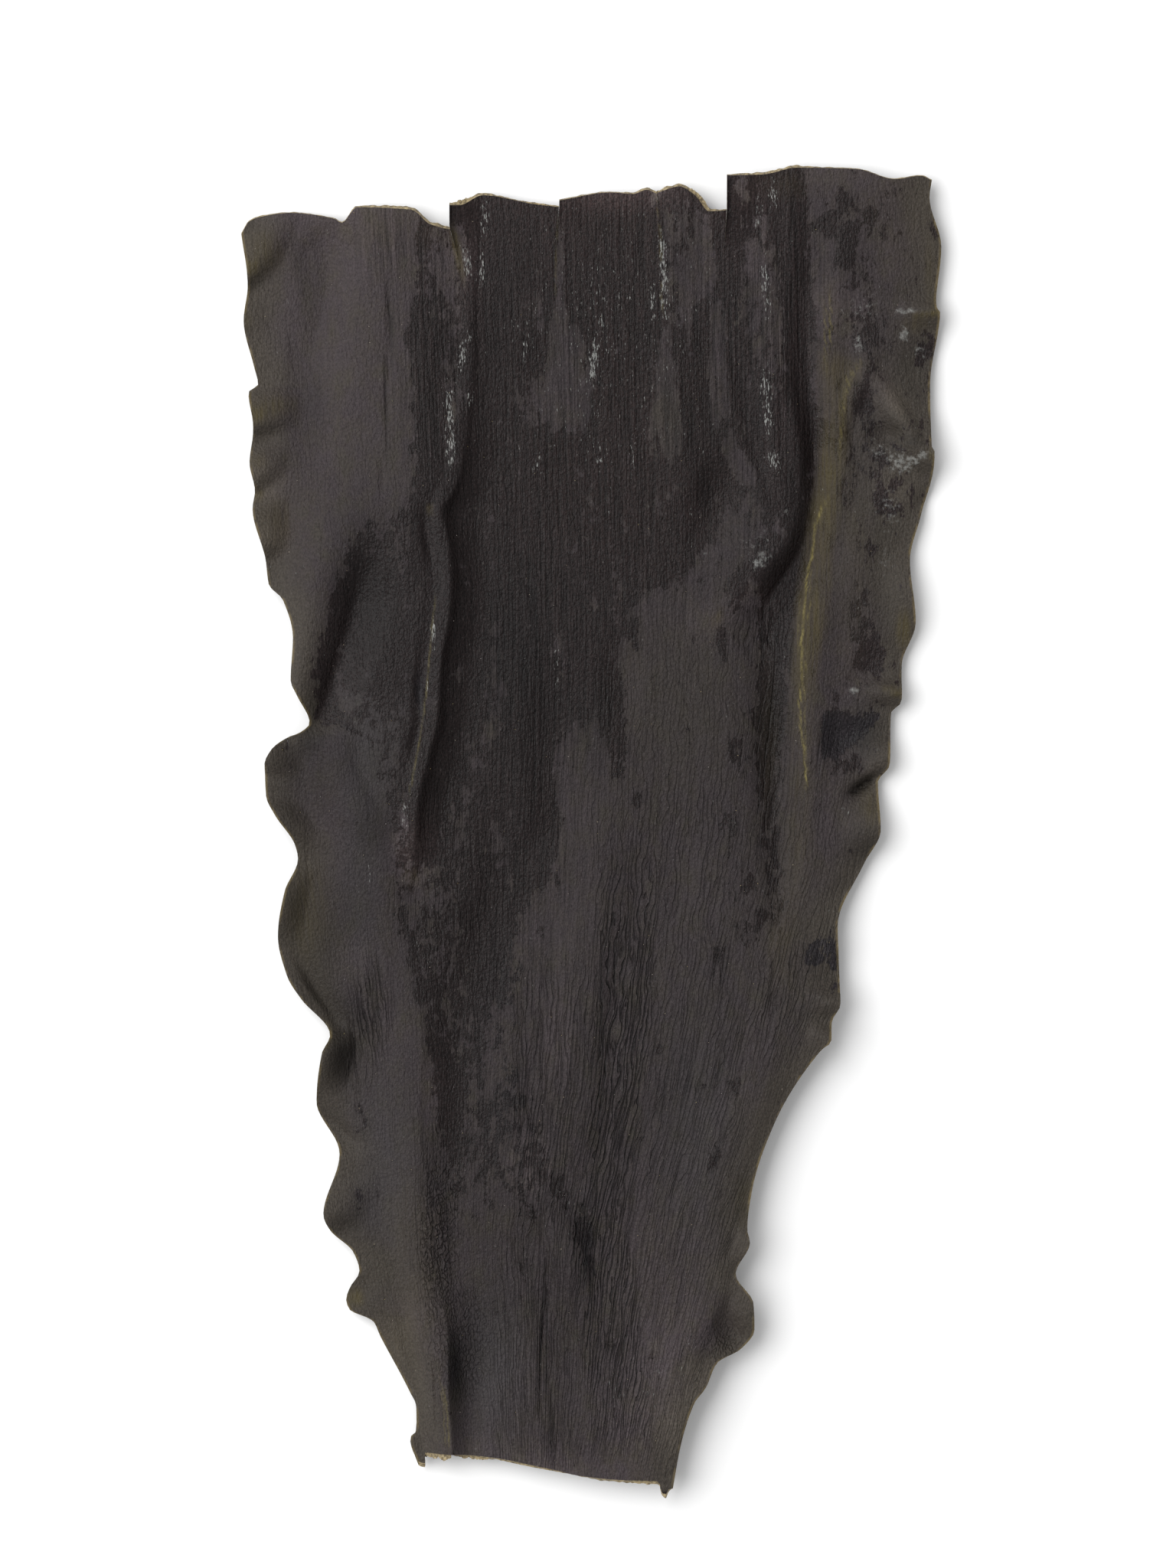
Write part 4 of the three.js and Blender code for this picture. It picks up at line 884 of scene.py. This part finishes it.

# The blade is paler towards its outline, from the outline to this far in, and places of the
# skin are paler (positive) or darker (negative): some a washed or darker tone of the skin,
# others painted highlights on lit slopes and painted shade on shaded ones.
PALE_NEAR, PALE_FAR = 9, 34
WASHED_AND_PAINTED_LIGHT = [
    (-66, 132, 44, 62, 0.6), (-33, 145, 7, 30, 0.8), (42, 158, 14, 22, 0.8), (4, 166, 14, 10, 0.8),
    (18, -130, 26, 50, 0.6), (-44, -140, 10, 30, 0.5), (-48, -2, 5, 14, 0.9),
    (48, 100, 4, 34, 0.8), (80, 90, 9, 10, 0.8), (-41, -68, 6, 14, 0.8), (30, 54, 12, 9, 0.6),
    # The negative places at the left margin on this line and the next are painted shade on shaded
    # slopes.
    (62, 116, 14, 40, 0.3), (-72, 20, 14, 24, -0.7), (-80, 4, 6, 12, -0.5),
    (-64, -52, 10, 16, -0.9), (-56, 0, 8, 14, -0.5), (-70, -25, 16, 30, -0.4),
    (72, 25, 7, 8, -1.2), (48, 28, 6, 16, -0.6), (72, -4, 8, 8, -0.8), (-61, -34, 9, 12, 0.6),
    (-62, 66, 12, 30, -0.5), (-72, 140, 5, 24, -0.4), (39.5, -97, 3.4, 12, -0.8),
    # (80, 111) and (76, 115) further on are a painted highlight on the lit swell, (84, 101.4)
    # painted shade under it.
    (86, 120, 8, 16, -0.5), (80, 111, 9, 4, 2.2, -59), (84, 101.4, 3, 2.4, -0.9),
    (72, 107, 4, 9, -0.3), (-16, 55, 7, 34, -0.4), (-24, 45, 6, 30, -0.5), (-8, -52, 8, 22, 0.5),
    # (-35.4, -140) below is a painted shadow in the hollow right of the lower left roll.
    (70.5, 11.4, 6, 2.2, -1.8, 35), (-35.4, -140, 3.4, 14, -1.5, 4), (-22, -142, 12, 22, 0.5),
    (4, 34, 4, 14, -0.5), (82, 155, 12, 20, 0.4), (30, 90, 6, 12, -0.4), (8, 167, 26, 8, 3),
    (42, 166, 12, 8, 0.8), (-32, 148, 6, 20, 0.7), (52, 130, 8, 44, 0.5), (-46, -6, 8, 13, 1.7),
    (76, 115, 9, 7, 0.7, -59), (-16, -87, 9, 12, 1.3), (-24, -150, 12, 20, 0.3),
    (12, -156, 16, 12, 0.9), (-12, -166, 14, 7, 0.8), (-52, -132, 10, 26, 0.8, -30),
    (-50, -104, 10, 18, 0.4), (22, -142, 16, 26, 0.7), (-56, 55, 12, 26, -0.3),
    (-76, 112, 8, 30, -0.4), (40, 76, 8, 12, -0.2), (28, 108, 8, 14, -0.4),
    (-16, 35, 14, 36, -0.3), (0, 24, 8, 18, -0.4), (66, 26, 8, 8, 0.5), (70, 45, 8, 10, 0.4),
    # (-85, 90) and (-83, 76) below are painted highlights on lit frills, (-65, -60) painted shade
    # in a hollow.
    (-85, 90, 9, 9, 1.4), (-83, 76, 7, 8, 1.4), (-65, -60, 5, 12, -0.9), (-78, -17, 4.4, 18, -0.5),
    (-42, 0, 5, 12, 0.6), (64, 136, 13, 12, 0.9), (38, 166, 5, 7, 0.6), (42, 60, 10, 10, 0.8),
    (-41, -105, 5, 14, 0.7), (-72, 112, 6, 16, -0.5), (-73, 25, 5, 8, -0.6), (78, 88, 9, 12, 0.4),
    (-75.6, 145, 2.6, 16, -0.6, 8),
]
from_end = np.minimum(grid_y[0] - grid_y, grid_y - grid_y[-1])
from_edge = np.minimum(inset, from_end)
paler_and_painted_light = 0.5 * bump(np.minimum(from_edge / PALE_NEAR, 1))
paler_and_painted_light += 0.5 * bump(np.minimum(from_edge / PALE_FAR, 1)) + painted(WASHED_AND_PAINTED_LIGHT)
veins_and_crest_highlight = grid_x * 0
wander = VEIN_WANDER * smooth_noise(grid_y / 2, grid_y * 0, 53)
broken = 0.7 + 0.5 * smooth_noise(grid_y / 3, grid_x / 3, 59)
for path, half_width, strength in VEINS_AND_CREST_HIGHLIGHT:
    aside, inside = beside(path, VEIN_END, wander)
    veins_and_crest_highlight = np.maximum(veins_and_crest_highlight, strength * inside * broken * bump(aside / half_width))
olive_and_glints = painted(OLIVE_AND_GLINTS) + band(OLIVE_TEAR, SHARP_BORDER)
olive_and_glints += band(OLIVE_RIDGE, OLIVE_BORDER) + band(OLIVE_BRANCH, OLIVE_BORDER)

# What the material reads: each mask is one number per point of the blade, on the underside
# the same as above it, and the flow is the point's place in the grain.
masks = {
    "film": film_level, "olive_and_glints": olive_and_glints, "bloom": painted(BLOOM), "crust": painted(CRUST),
    "brown": painted(BROWN), "cracked": painted(CRACKED), "pebbled": pebbled, "veins_and_crest_highlight": veins_and_crest_highlight,
    "inset": inset, "paler_and_painted_light": paler_and_painted_light, "wrinkled": np.clip(wrinkled, 0, 1),
    "lined": np.clip(painted(LINED), 0, 1), "cool": np.clip(painted(COOL), 0, 1),
    "warm": np.clip(painted(WARM) + bump(np.minimum(inset / WARM_EDGE, 1)), 0, 1),
    "hollow_blue": painted(HOLLOW_BLUE) + HOLLOW_BLUENESS * hollows_at_right,
}
for name, values in masks.items():
    both_sides = np.concatenate([np.ravel(values), np.ravel(values)])[used]
    attribute = blade_mesh.attributes.new(name, "FLOAT", "POINT")
    attribute.data.foreach_set("value", both_sides.astype(np.float32))
along_centre = curve_through(GRAIN_CENTRE)(grid_y)
spread = curve_through(GRAIN_SPREAD)(grid_y)
flow = np.stack([(grid_x - along_centre) / spread, grid_y, grid_x * 0], axis=-1).reshape(-1, 3)
flow = np.concatenate([flow, flow])[used]
flow_attribute = blade_mesh.attributes.new("flow", "FLOAT_VECTOR", "POINT")
flow_attribute.data.foreach_set("vector", flow.astype(np.float32).ravel())


def connect(slot, value):
    """Sets an input to a number or a colour, or links it to the output that makes it."""
    value = value.output if isinstance(value, Value) else value
    if isinstance(value, bpy.types.NodeSocket):
        slot.id_data.links.new(value, slot)
    else:
        slot.default_value = value


def add_node(tree, kind, **values):
    """A node with its settings, in lower case, and its inputs, by their labels."""
    made = tree.nodes.new(kind)
    for name, value in values.items():
        if hasattr(made, name):
            setattr(made, name, value)
        else:
            connect(made.inputs[name], value)
    return made


class Value:
    """A number that a material's nodes work out. Sums and products of it are nodes as well."""

    def __init__(self, output):
        self.output = output
        self.tree = output.id_data

    def maths(self, operation, *others):
        made = add_node(self.tree, "ShaderNodeMath", operation=operation)
        for slot, value in zip(made.inputs, (self, *others)):
            connect(slot, value)
        return Value(made.outputs[0])

    def __add__(self, other):
        return self.maths("ADD", other)

    def __sub__(self, other):
        return self.maths("SUBTRACT", other)

    def __mul__(self, other):
        return self.maths("MULTIPLY", other)

    def ramp(self, low, high, to_low=0.0, to_high=1.0):
        """A soft step between low and high."""
        made = add_node(self.tree, "ShaderNodeMapRange", interpolation_type="SMOOTHSTEP")
        for slot, value in zip(made.inputs, (self, low, high, to_low, to_high)):
            connect(slot, value)
        return Value(made.outputs["Result"])

    def seams(self, sharpness):
        """For a noise: 1 along thin winding lines and 0 between them."""
        off = ((self - 0.5) * sharpness).maths("ABSOLUTE").maths("MINIMUM", 1.0)
        return off * -1 + 1


def mask_of(tree, name):
    return Value(add_node(tree, "ShaderNodeAttribute", attribute_name=name).outputs["Fac"])


def blend(mask, under, over):
    """The colour under, covered by the colour over where mask is 1."""
    made = add_node(mask.tree, "ShaderNodeMix", data_type="RGBA")
    for number, value in ((0, mask), (6, under), (7, over)):
        connect(made.inputs[number], value)
    return made.outputs[2]


def scaled(colour, factor):
    made = add_node(factor.tree, "ShaderNodeVectorMath", operation="SCALE", Scale=factor)
    connect(made.inputs[0], colour)
    return made.outputs["Vector"]


def grain(vector, scale, detail, roughness, along=1, place=0):
    """Noise from 0 to 1 in cycles per unit of the vector; along is its scale along y."""
    tree = vector.id_data
    mapped = add_node(
        tree, "ShaderNodeMapping", Vector=vector, Scale=(1, along, 1), Location=(place,) * 3
    )
    noise = add_node(
        tree, "ShaderNodeTexNoise", Scale=scale, Detail=detail, Roughness=roughness,
        Vector=mapped.outputs["Vector"],
    )
    return Value(noise.outputs["Fac"])


def set_relief(shader, height, unit):
    """Lets a shader's surface look raised by height, in that unit."""
    relief = add_node(height.tree, "ShaderNodeBump", Strength=1.0, Distance=unit, Height=height)
    connect(shader["Normal"], relief.outputs["Normal"])


def add_material(name):
    """A material, its node tree and the inputs of its Principled shader."""
    material = bpy.data.materials.new(name)
    material.use_nodes = True
    return material, material.node_tree, material.node_tree.nodes["Principled BSDF"].inputs


BARE_SKIN = (0.0086, 0.0058, 0.0057, 1)
FILM_GREY = (0.0254, 0.0204, 0.0192, 1)
FILM_PURPLE = (0.0250, 0.0198, 0.0210, 1)
FILM_OLIVE = (0.0254, 0.0214, 0.0172, 1)
FILM_COOL = (0.0232, 0.0212, 0.0218, 1)
RED_BROWN = (0.0098, 0.0060, 0.0056, 1)
OLIVE_AND_GLINT_COLOUR = (0.0520, 0.0410, 0.0155, 1)
BLUE_BLACK = (0.0082, 0.0076, 0.0096, 1)
BLOOM_WHITE = (0.3200, 0.3250, 0.3100, 1)
EDGE_AMBER_AND_GLEAM = (0.1300, 0.1000, 0.0480, 1)
VEIN_AND_HIGHLIGHT_YELLOW = (0.1500, 0.1250, 0.0420, 1)
PER_MM = 1000                    # object coordinates are in metres
PATCH_PULL, BLOT_PULL = 3, 5.4   # how strongly these move the border of the film
FILM_COVER = 0.82                # how much of the bare skin the film hides
BLOOM_COVER = 0.6
BLOOM_PULL, CRUST_PULL = 0.175, 0.28    # how strongly their masks bring them out
PALE_GAIN = 0.55                 # a pale place is lighter by this share
LINE_TONE = (-0.38, 0.32)        # straight lines are darker or lighter by up to these shares
FURROW_SPACING = 1.45            # in the blade's own grain, from one furrow to the next
FURROW_SWAY = 7
# Painted shade: the next three darken the furrows, the cracks and the gaps between pebbles.
FURROW_PAINTED_SHADE = 0.42               # how dark the bottom of a furrow is, against the skin
CRACK_PAINTED_SHADE = 0.35
PEBBLE_GAP_PAINTED_SHADE = 0.4                # how much darker the gaps between pebbles are
BARE_ROUGHNESS, FILM_ROUGHNESS, BLOOM_ROUGHNESS = 0.4, 0.55, 0.8
SKIN_SPECULAR = 0.14
# Depths and heights of the skin's relief in millimetres.
FURROW_DEPTH = 0.6
LINE_HEIGHT = 0.55
LEATHER_HEIGHT = 0.4
PEBBLE_HEIGHT = 0.5
CRACK_DEPTH = 0.3
BLOOM_HEIGHT = 0.05

skin, tree, shader = add_material("kelp_skin")
object_at = add_node(tree, "ShaderNodeTexCoord").outputs["Object"]
flow_at = add_node(tree, "ShaderNodeAttribute", attribute_name="flow").outputs["Vector"]

# The film ends in ragged borders: broad patches, eaten into by small blots and pinholes.
patches = grain(object_at, 0.11 * PER_MM, 2, 0.6, 0.5)
blots = grain(object_at, 0.42 * PER_MM, 5, 0.62, 0.6, 5)
pepper = grain(object_at, 1.1 * PER_MM, 3, 0.6, 0.7, 7)
lines = grain(flow_at, 1.2, 3, 0.65, 0.035)
level = mask_of(tree, "film") + (patches - 0.5) * PATCH_PULL
level = level + (blots - 0.5) * BLOT_PULL + lines - 0.5
film = level.ramp(-0.08, 0.12) * (level * 0.22 + pepper).ramp(0.38, 0.45) * FILM_COVER
film = film + level.ramp(-1.6, -0.1, 0, 0.08) + level.ramp(0.2, 1.4, 0, 0.16)

hues = grain(object_at, 0.22 * PER_MM, 4, 0.62, 0.6, 9)
film_colour = blend(hues.ramp(0.38, 0.62), FILM_PURPLE, FILM_GREY)
film_colour = blend(hues.ramp(0.56, 0.72, 0, 0.8), film_colour, FILM_OLIVE)
film_colour = blend(mask_of(tree, "cool"), film_colour, FILM_COOL)
film_colour = blend(mask_of(tree, "warm"), film_colour, FILM_OLIVE)
colour = blend(mask_of(tree, "brown"), BARE_SKIN, RED_BROWN)
colour = blend(mask_of(tree, "hollow_blue"), colour, BLUE_BLACK)
colour = blend(film, colour, film_colour)

# Straight lines and a fine speckle in all of it, with the paler places and their painted light and
# shade, then the olive places with painted highlights, the amber edge with its painted gleam, and
# the yellow lines.
fine = grain(object_at, 2 * PER_MM, 2, 0.6, 0.8, 17)
lined = mask_of(tree, "lined")
# Painted highlights and painted shade come in here with the paler places.
tone = mask_of(tree, "paler_and_painted_light") * PALE_GAIN + 1
tone = tone * (lines.ramp(0.36, 0.62, *LINE_TONE) * lined + 1)
tone = tone * (fine.ramp(0.34, 0.66, -1, 1) * film.ramp(0, 1, 0.4, 0.2) + 1)
colour = scaled(colour, tone)
# Olive of thin skin, with painted highlights at the lit frill tips.
olive_and_glints = mask_of(tree, "olive_and_glints") * patches.ramp(0.3, 0.65, 0.5, 1)
colour = blend(olive_and_glints * lines.ramp(0.35, 0.62, 0.5, 1.2), colour, OLIVE_AND_GLINT_COLOUR)
# The amber edge: colour of the thin outline, and a painted gleam where the rim catches the light.
thin_edge_and_gleam = mask_of(tree, "inset").ramp(0.9, 0.1, 0, 0.7) * hues.ramp(0.42, 0.6, 0.1, 1)
colour = blend(thin_edge_and_gleam, colour, EDGE_AMBER_AND_GLEAM)
# Yellow crack lines, and the painted highlight on the main fold's crest.
colour = blend(mask_of(tree, "veins_and_crest_highlight") * fine.ramp(0.3, 0.6, 0.35, 1), colour, VEIN_AND_HIGHLIGHT_YELLOW)

# Furrows run along the blade between rounded ridges and are cut into it, with painted shade at
# their bottoms. Cracks are finer and straighter, and gaps part the pebbles; painted shade darkens
# both.
apart = add_node(tree, "ShaderNodeSeparateXYZ", Vector=flow_at).outputs
bent_x = grain(flow_at, 0.2, 3, 0.55, 0.3, 21) * FURROW_SWAY + apart["X"]
bent = add_node(tree, "ShaderNodeCombineXYZ", X=bent_x, Y=apart["Y"]).outputs["Vector"]
spans = grain(bent, 0.45, 2, 0.5, 0.1, 27)
waves = (bent_x * (2 * math.pi / FURROW_SPACING)).maths("SINE").ramp(0.3, 1)
waves = waves * spans.ramp(0.34, 0.5, 0.15, 1)
clefts = grain(bent, 0.5, 1, 0.5, 0.09, 11).seams(18) * spans.ramp(0.6, 0.45, 0.2, 0.75)
furrows = waves.maths("MAXIMUM", clefts) * mask_of(tree, "wrinkled")
cracks = grain(flow_at, 0.35, 1, 0.5, 0.03, 33).seams(14) * mask_of(tree, "cracked")
gaps = grain(object_at, 0.8 * PER_MM, 1, 0.5, 0.6, 13).seams(9) * mask_of(tree, "pebbled")
# Painted shade in the furrows, cracks and gaps between pebbles.
colour = scaled(colour, furrows.ramp(0, 1, 1.06, FURROW_PAINTED_SHADE))
colour = scaled(colour, cracks.ramp(0, 1, 1, CRACK_PAINTED_SHADE))
colour = scaled(colour, gaps * -PEBBLE_GAP_PAINTED_SHADE + 1)

# Bloom: thin white dashes along the grain, and in places a crust of white spots.
dashes = grain(flow_at, 3.2, 2, 0.6, 0.2, 3)
spots = grain(object_at, 0.75 * PER_MM, 4, 0.7, 1, 41)
crust = (mask_of(tree, "crust") * CRUST_PULL + spots).ramp(0.64, 0.94, 0, 0.7)
flecks = (mask_of(tree, "bloom") * BLOOM_PULL + dashes).ramp(0.73, 0.82)
flecks = flecks.maths("MAXIMUM", crust)
roughness = film.ramp(0, 1, BARE_ROUGHNESS, FILM_ROUGHNESS)
roughness = roughness.maths("MAXIMUM", flecks * BLOOM_ROUGHNESS)
connect(shader["Base Color"], blend(flecks * BLOOM_COVER, colour, BLOOM_WHITE))
connect(shader["Roughness"], roughness)
connect(shader["Specular IOR Level"], SKIN_SPECULAR)

leather = grain(object_at, 1.4 * PER_MM, 2, 0.6, 0.7)
height = lines * lined * LINE_HEIGHT + leather * LEATHER_HEIGHT + flecks * BLOOM_HEIGHT
height = height - furrows * FURROW_DEPTH - gaps * PEBBLE_HEIGHT - cracks * CRACK_DEPTH
set_relief(shader, height, MM)

# The core is pale and fibrous; it shows where the blade is torn.
CORE_CREAM = (0.34, 0.27, 0.15, 1)
CORE_SHADE = (0.10, 0.075, 0.04, 1)
FIBRE_RELIEF = 0.1               # in millimetres
core, tree, shader = add_material("torn_core")
object_at = add_node(tree, "ShaderNodeTexCoord").outputs["Object"]
fibres = grain(object_at, 1.2 * PER_MM, 3, 0.6)
connect(shader["Base Color"], blend(fibres.ramp(0.35, 0.65), CORE_SHADE, CORE_CREAM))
connect(shader["Roughness"], 0.75)
set_relief(shader, fibres, FIBRE_RELIEF * MM)

blade_mesh.materials.append(skin)
blade_mesh.materials.append(core)
torn = {int(i) for i in np.concatenate([index[0], index[ROWS]])}
for c, root in roots.items():
    torn |= {int(i) for i in index[:root + 1, c]}
slots = [0] * (len(upper_faces) + len(lower_faces))
slots += [1 if a in torn and b in torn else 0 for a, b in rim_edges]
blade_mesh.polygons.foreach_set("material_index", slots)
blade_mesh.update()
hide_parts("kelp_sheet")
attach(blade, "root")


# ---- Fibres at the torn ends -------------------------------------------------------------
# Pale strips of the blade's core. They tore off later than the dark skin over them, so they
# stick out from between its two faces and dried to thin ragged flakes.

FIBRE_STEPS = 36
FIBRE_ROOT = 0.8                 # how deep a strip begins inside the blade
FIBRE_THICKNESS = 0.3            # at its root
TIP_THICKNESS = 0.08
FIBRE_LIFT = 0.75                # height of a strip's middle above the underside
FIBRE_DROOP = 0.25               # how far a strip sinks for each length that it stands out
FIBRE_WAVE = 0.2                 # strips wave up and down by about this
SHORTEST_FIBRE = 0.05
# Strips: path along the end as (x, y), which way they stand out along y, how far at their middle.
FIBRES = [
    ([(-43.8, -162), (-40, -162.4), (-36.4, -163.2)], -1, 1.9),
    ([(-36, -162.4), (-31, -163), (-26.4, -163.6)], -1, 1.2),
    ([(-26, -163.4), (-12, -166), (-1, -168)], -1, 0.5),
    ([(1.6, -168.4), (10, -169), (18.4, -169.8)], -1, 1.0),
    ([(-36.5, 162.4), (-33, 163.6), (-28.4, 165)], 1, 1.4),
    ([(-27, 165.2), (-20, 164), (-9, 162.6)], 1, 0.5),
    ([(14.5, 166.5), (17.2, 165.8), (21, 167)], 1, 1.0),
    ([(24, 167.2), (27.5, 165.2), (31, 161.4)], 1, 1.7),
    ([(-61, 161.8), (-54, 161.8), (-47, 161.2)], 1, 0.8),
    ([(45, 170.6), (50, 171.6), (55, 172.4)], 1, 0.7),
]
strip_points, strip_faces = [], []
for number, (path, way, length) in enumerate(FIBRES):
    along = np.linspace(0, 1, FIBRE_STEPS)
    strip_x = path[0][0] + (path[-1][0] - path[0][0]) * along
    strip_y = curve_through(path)(strip_x)
    # Coarse and fine teeth, and at both ends of the strip it fades into the torn edge.
    jagged = 0.6 + 0.3 * smooth_noise(strip_x / 1.3, strip_x * 0, 61 + number)
    jagged += 0.25 * smooth_noise(strip_x / 0.4, strip_x * 0, 81 + number)
    out = length * jagged * (1 - np.abs(2 * along - 1) ** 4) + SHORTEST_FIBRE
    strip_z = underside(strip_x, strip_y) + FIBRE_LIFT
    strip_z += FIBRE_WAVE * smooth_noise(strip_x / 3, strip_x * 0, 7)
    first = len(strip_points)
    for x, y, z, reach in zip(strip_x, strip_y, strip_z, out):
        root_y, tip_y, tip_z = y - way * FIBRE_ROOT, y + way * reach, z - FIBRE_DROOP * reach
        strip_points += [
            (x, root_y, z + FIBRE_THICKNESS / 2),
            (x, tip_y, tip_z + TIP_THICKNESS / 2),
            (x, tip_y, tip_z - TIP_THICKNESS / 2),
            (x, root_y, z - FIBRE_THICKNESS / 2),
        ]
    for k in range(FIBRE_STEPS - 1):
        for side in range(4):
            a, b = first + 4 * k + side, first + 4 * k + (side + 1) % 4
            strip_faces.append((a, b, b + 4, a + 4) if way < 0 else (a, a + 4, b + 4, b))
    head = [first + i for i in range(4)]
    tail = [i + 4 * (FIBRE_STEPS - 1) for i in head]
    strip_faces += [head[::-1], tail] if way < 0 else [head, tail[::-1]]

strip_points = np.array(strip_points)
strip_points[:, :2] += shift[:2]
torn_fibres = add_mesh_object("torn_fibres", strip_points, strip_faces)
torn_fibres.data.materials.append(core)
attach(torn_fibres, "root")


# ---- Salt grains -------------------------------------------------------------------------
# Crystals of sea salt that dried onto the skin: far apart, clear to yellowish, and smaller
# than a third of a millimetre. They lie anywhere on the upper side.

GRAINS_PER_MM2 = 0.006
GRAIN_RADIUS = (0.03, 0.085)
GRAIN_SEED, TINT_SEED = 4, 9
FULL_TURN = (6.28, 6.28, 6.28)
SALT_CLEAR = (0.62, 0.56, 0.55, 1)
SALT_YELLOW = (0.55, 0.43, 0.16, 1)

salt, tree, shader = add_material("sea_salt")
connect(shader["Base Color"], blend(mask_of(tree, "tint"), SALT_CLEAR, SALT_YELLOW))
connect(shader["Roughness"], 0.35)

ground_faces = [renumber[list(face)].tolist() for face in upper_faces]
salt_grains = add_mesh_object("salt_grains", points, ground_faces)
ground = salt_grains.data

scatter = bpy.data.node_groups.new("scatter_salt", "GeometryNodeTree")
input_kinds = {
    "Ground": "Geometry", "Density": "Float", "Smallest": "Float", "Largest": "Float",
    "Seed": "Int",
}
for label, kind in input_kinds.items():
    scatter.interface.new_socket(label, in_out="INPUT", socket_type="NodeSocket" + kind)
scatter.interface.new_socket("Grains", in_out="OUTPUT", socket_type="NodeSocketGeometry")
given = add_node(scatter, "NodeGroupInput").outputs
spread_out = add_node(
    scatter, "GeometryNodeDistributePointsOnFaces",
    Mesh=given["Ground"], Density=given["Density"], Seed=given["Seed"],
)
crystal = add_node(scatter, "GeometryNodeMeshIcoSphere", Radius=1.0, Subdivisions=1)
# This node has a pair of inputs for the smallest and largest value of each kind: the first
# pair is for vectors and the second for numbers.
turns = add_node(scatter, "FunctionNodeRandomValue", data_type="FLOAT_VECTOR")
connect(turns.inputs[1], FULL_TURN)
sizes = add_node(scatter, "FunctionNodeRandomValue", Seed=given["Seed"])
connect(sizes.inputs[2], given["Smallest"])
connect(sizes.inputs[3], given["Largest"])
placed = add_node(
    scatter, "GeometryNodeInstanceOnPoints", Points=spread_out.outputs["Points"],
    Instance=crystal.outputs["Mesh"], Rotation=turns.outputs[0], Scale=sizes.outputs[1],
)
tints = add_node(scatter, "FunctionNodeRandomValue", Seed=TINT_SEED)
stored = add_node(
    scatter, "GeometryNodeStoreNamedAttribute", domain="INSTANCE", Name="tint",
    Geometry=placed.outputs["Instances"], Value=tints.outputs[1],
)
realized = add_node(scatter, "GeometryNodeRealizeInstances", Geometry=stored.outputs["Geometry"])
dressed = add_node(
    scatter, "GeometryNodeSetMaterial", Geometry=realized.outputs["Geometry"], Material=salt
)
add_node(scatter, "NodeGroupOutput", Grains=dressed.outputs["Geometry"])

scattering = salt_grains.modifiers.new("scatter", "NODES")
scattering.node_group = scatter
settings = {
    "Density": GRAINS_PER_MM2 / MM ** 2, "Smallest": GRAIN_RADIUS[0] * MM,
    "Largest": GRAIN_RADIUS[1] * MM, "Seed": GRAIN_SEED,
}
for socket in scatter.interface.items_tree:
    if socket.name in settings:
        scattering[socket.identifier] = settings[socket.name]
evaluated = salt_grains.evaluated_get(bpy.context.evaluated_depsgraph_get())
grown = bpy.data.meshes.new_from_object(evaluated)
salt_grains.modifiers.clear()
salt_grains.data = grown
bpy.data.meshes.remove(ground)
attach(salt_grains, "root")


# ---- The table, the light and the camera -------------------------------------------------
# A white table, a large soft light from the left and above, and the camera straight overhead.

TABLE_SIZE = 6000
TABLE_WHITE = (0.9, 0.9, 0.9, 1)
ROOM_LIGHT = 0.58
LAMP_SIZE = 2.9                  # the lamp and the camera are placed in metres
LAMP_POWER = 104
LAMP_AT = (-1.7, 0.71, 2.04)
IMAGE_HEIGHT = 409.6             # what the picture shows from top to bottom, at the table
CAMERA_AT = (-0.0008, 0.0122, 2.0)

half = TABLE_SIZE / 2
corners = [(-half, -half, 0), (half, -half, 0), (half, half, 0), (-half, half, 0)]
table_top = add_mesh_object("table_top", corners, [(0, 1, 2, 3)])
white, tree, shader = add_material("white_table")
connect(shader["Base Color"], TABLE_WHITE)
connect(shader["Roughness"], 0.9)
connect(shader["Specular IOR Level"], 0.1)
table_top.data.materials.append(white)

scene = bpy.context.scene
scene.view_settings.view_transform = "Standard"
world = bpy.data.worlds.new("studio")
world.use_nodes = True
background = world.node_tree.nodes["Background"].inputs
connect(background["Color"], (1, 1, 1, 1))
connect(background["Strength"], ROOM_LIGHT)
scene.world = world

lamp_data = bpy.data.lights.new("lamp", "AREA")
lamp_data.shape = "RECTANGLE"
lamp_data.size = lamp_data.size_y = LAMP_SIZE
lamp_data.energy = LAMP_POWER
lamp = add_object("lamp", lamp_data)
lamp.location = LAMP_AT
lamp.rotation_euler = (-lamp.location).to_track_quat("-Z", "Y").to_euler()

camera_data = bpy.data.cameras.new("camera")
camera_data.lens = camera_data.sensor_width * CAMERA_AT[2] / (IMAGE_HEIGHT * MM)
camera = add_object("camera", camera_data)
camera.location = CAMERA_AT
scene.camera = camera
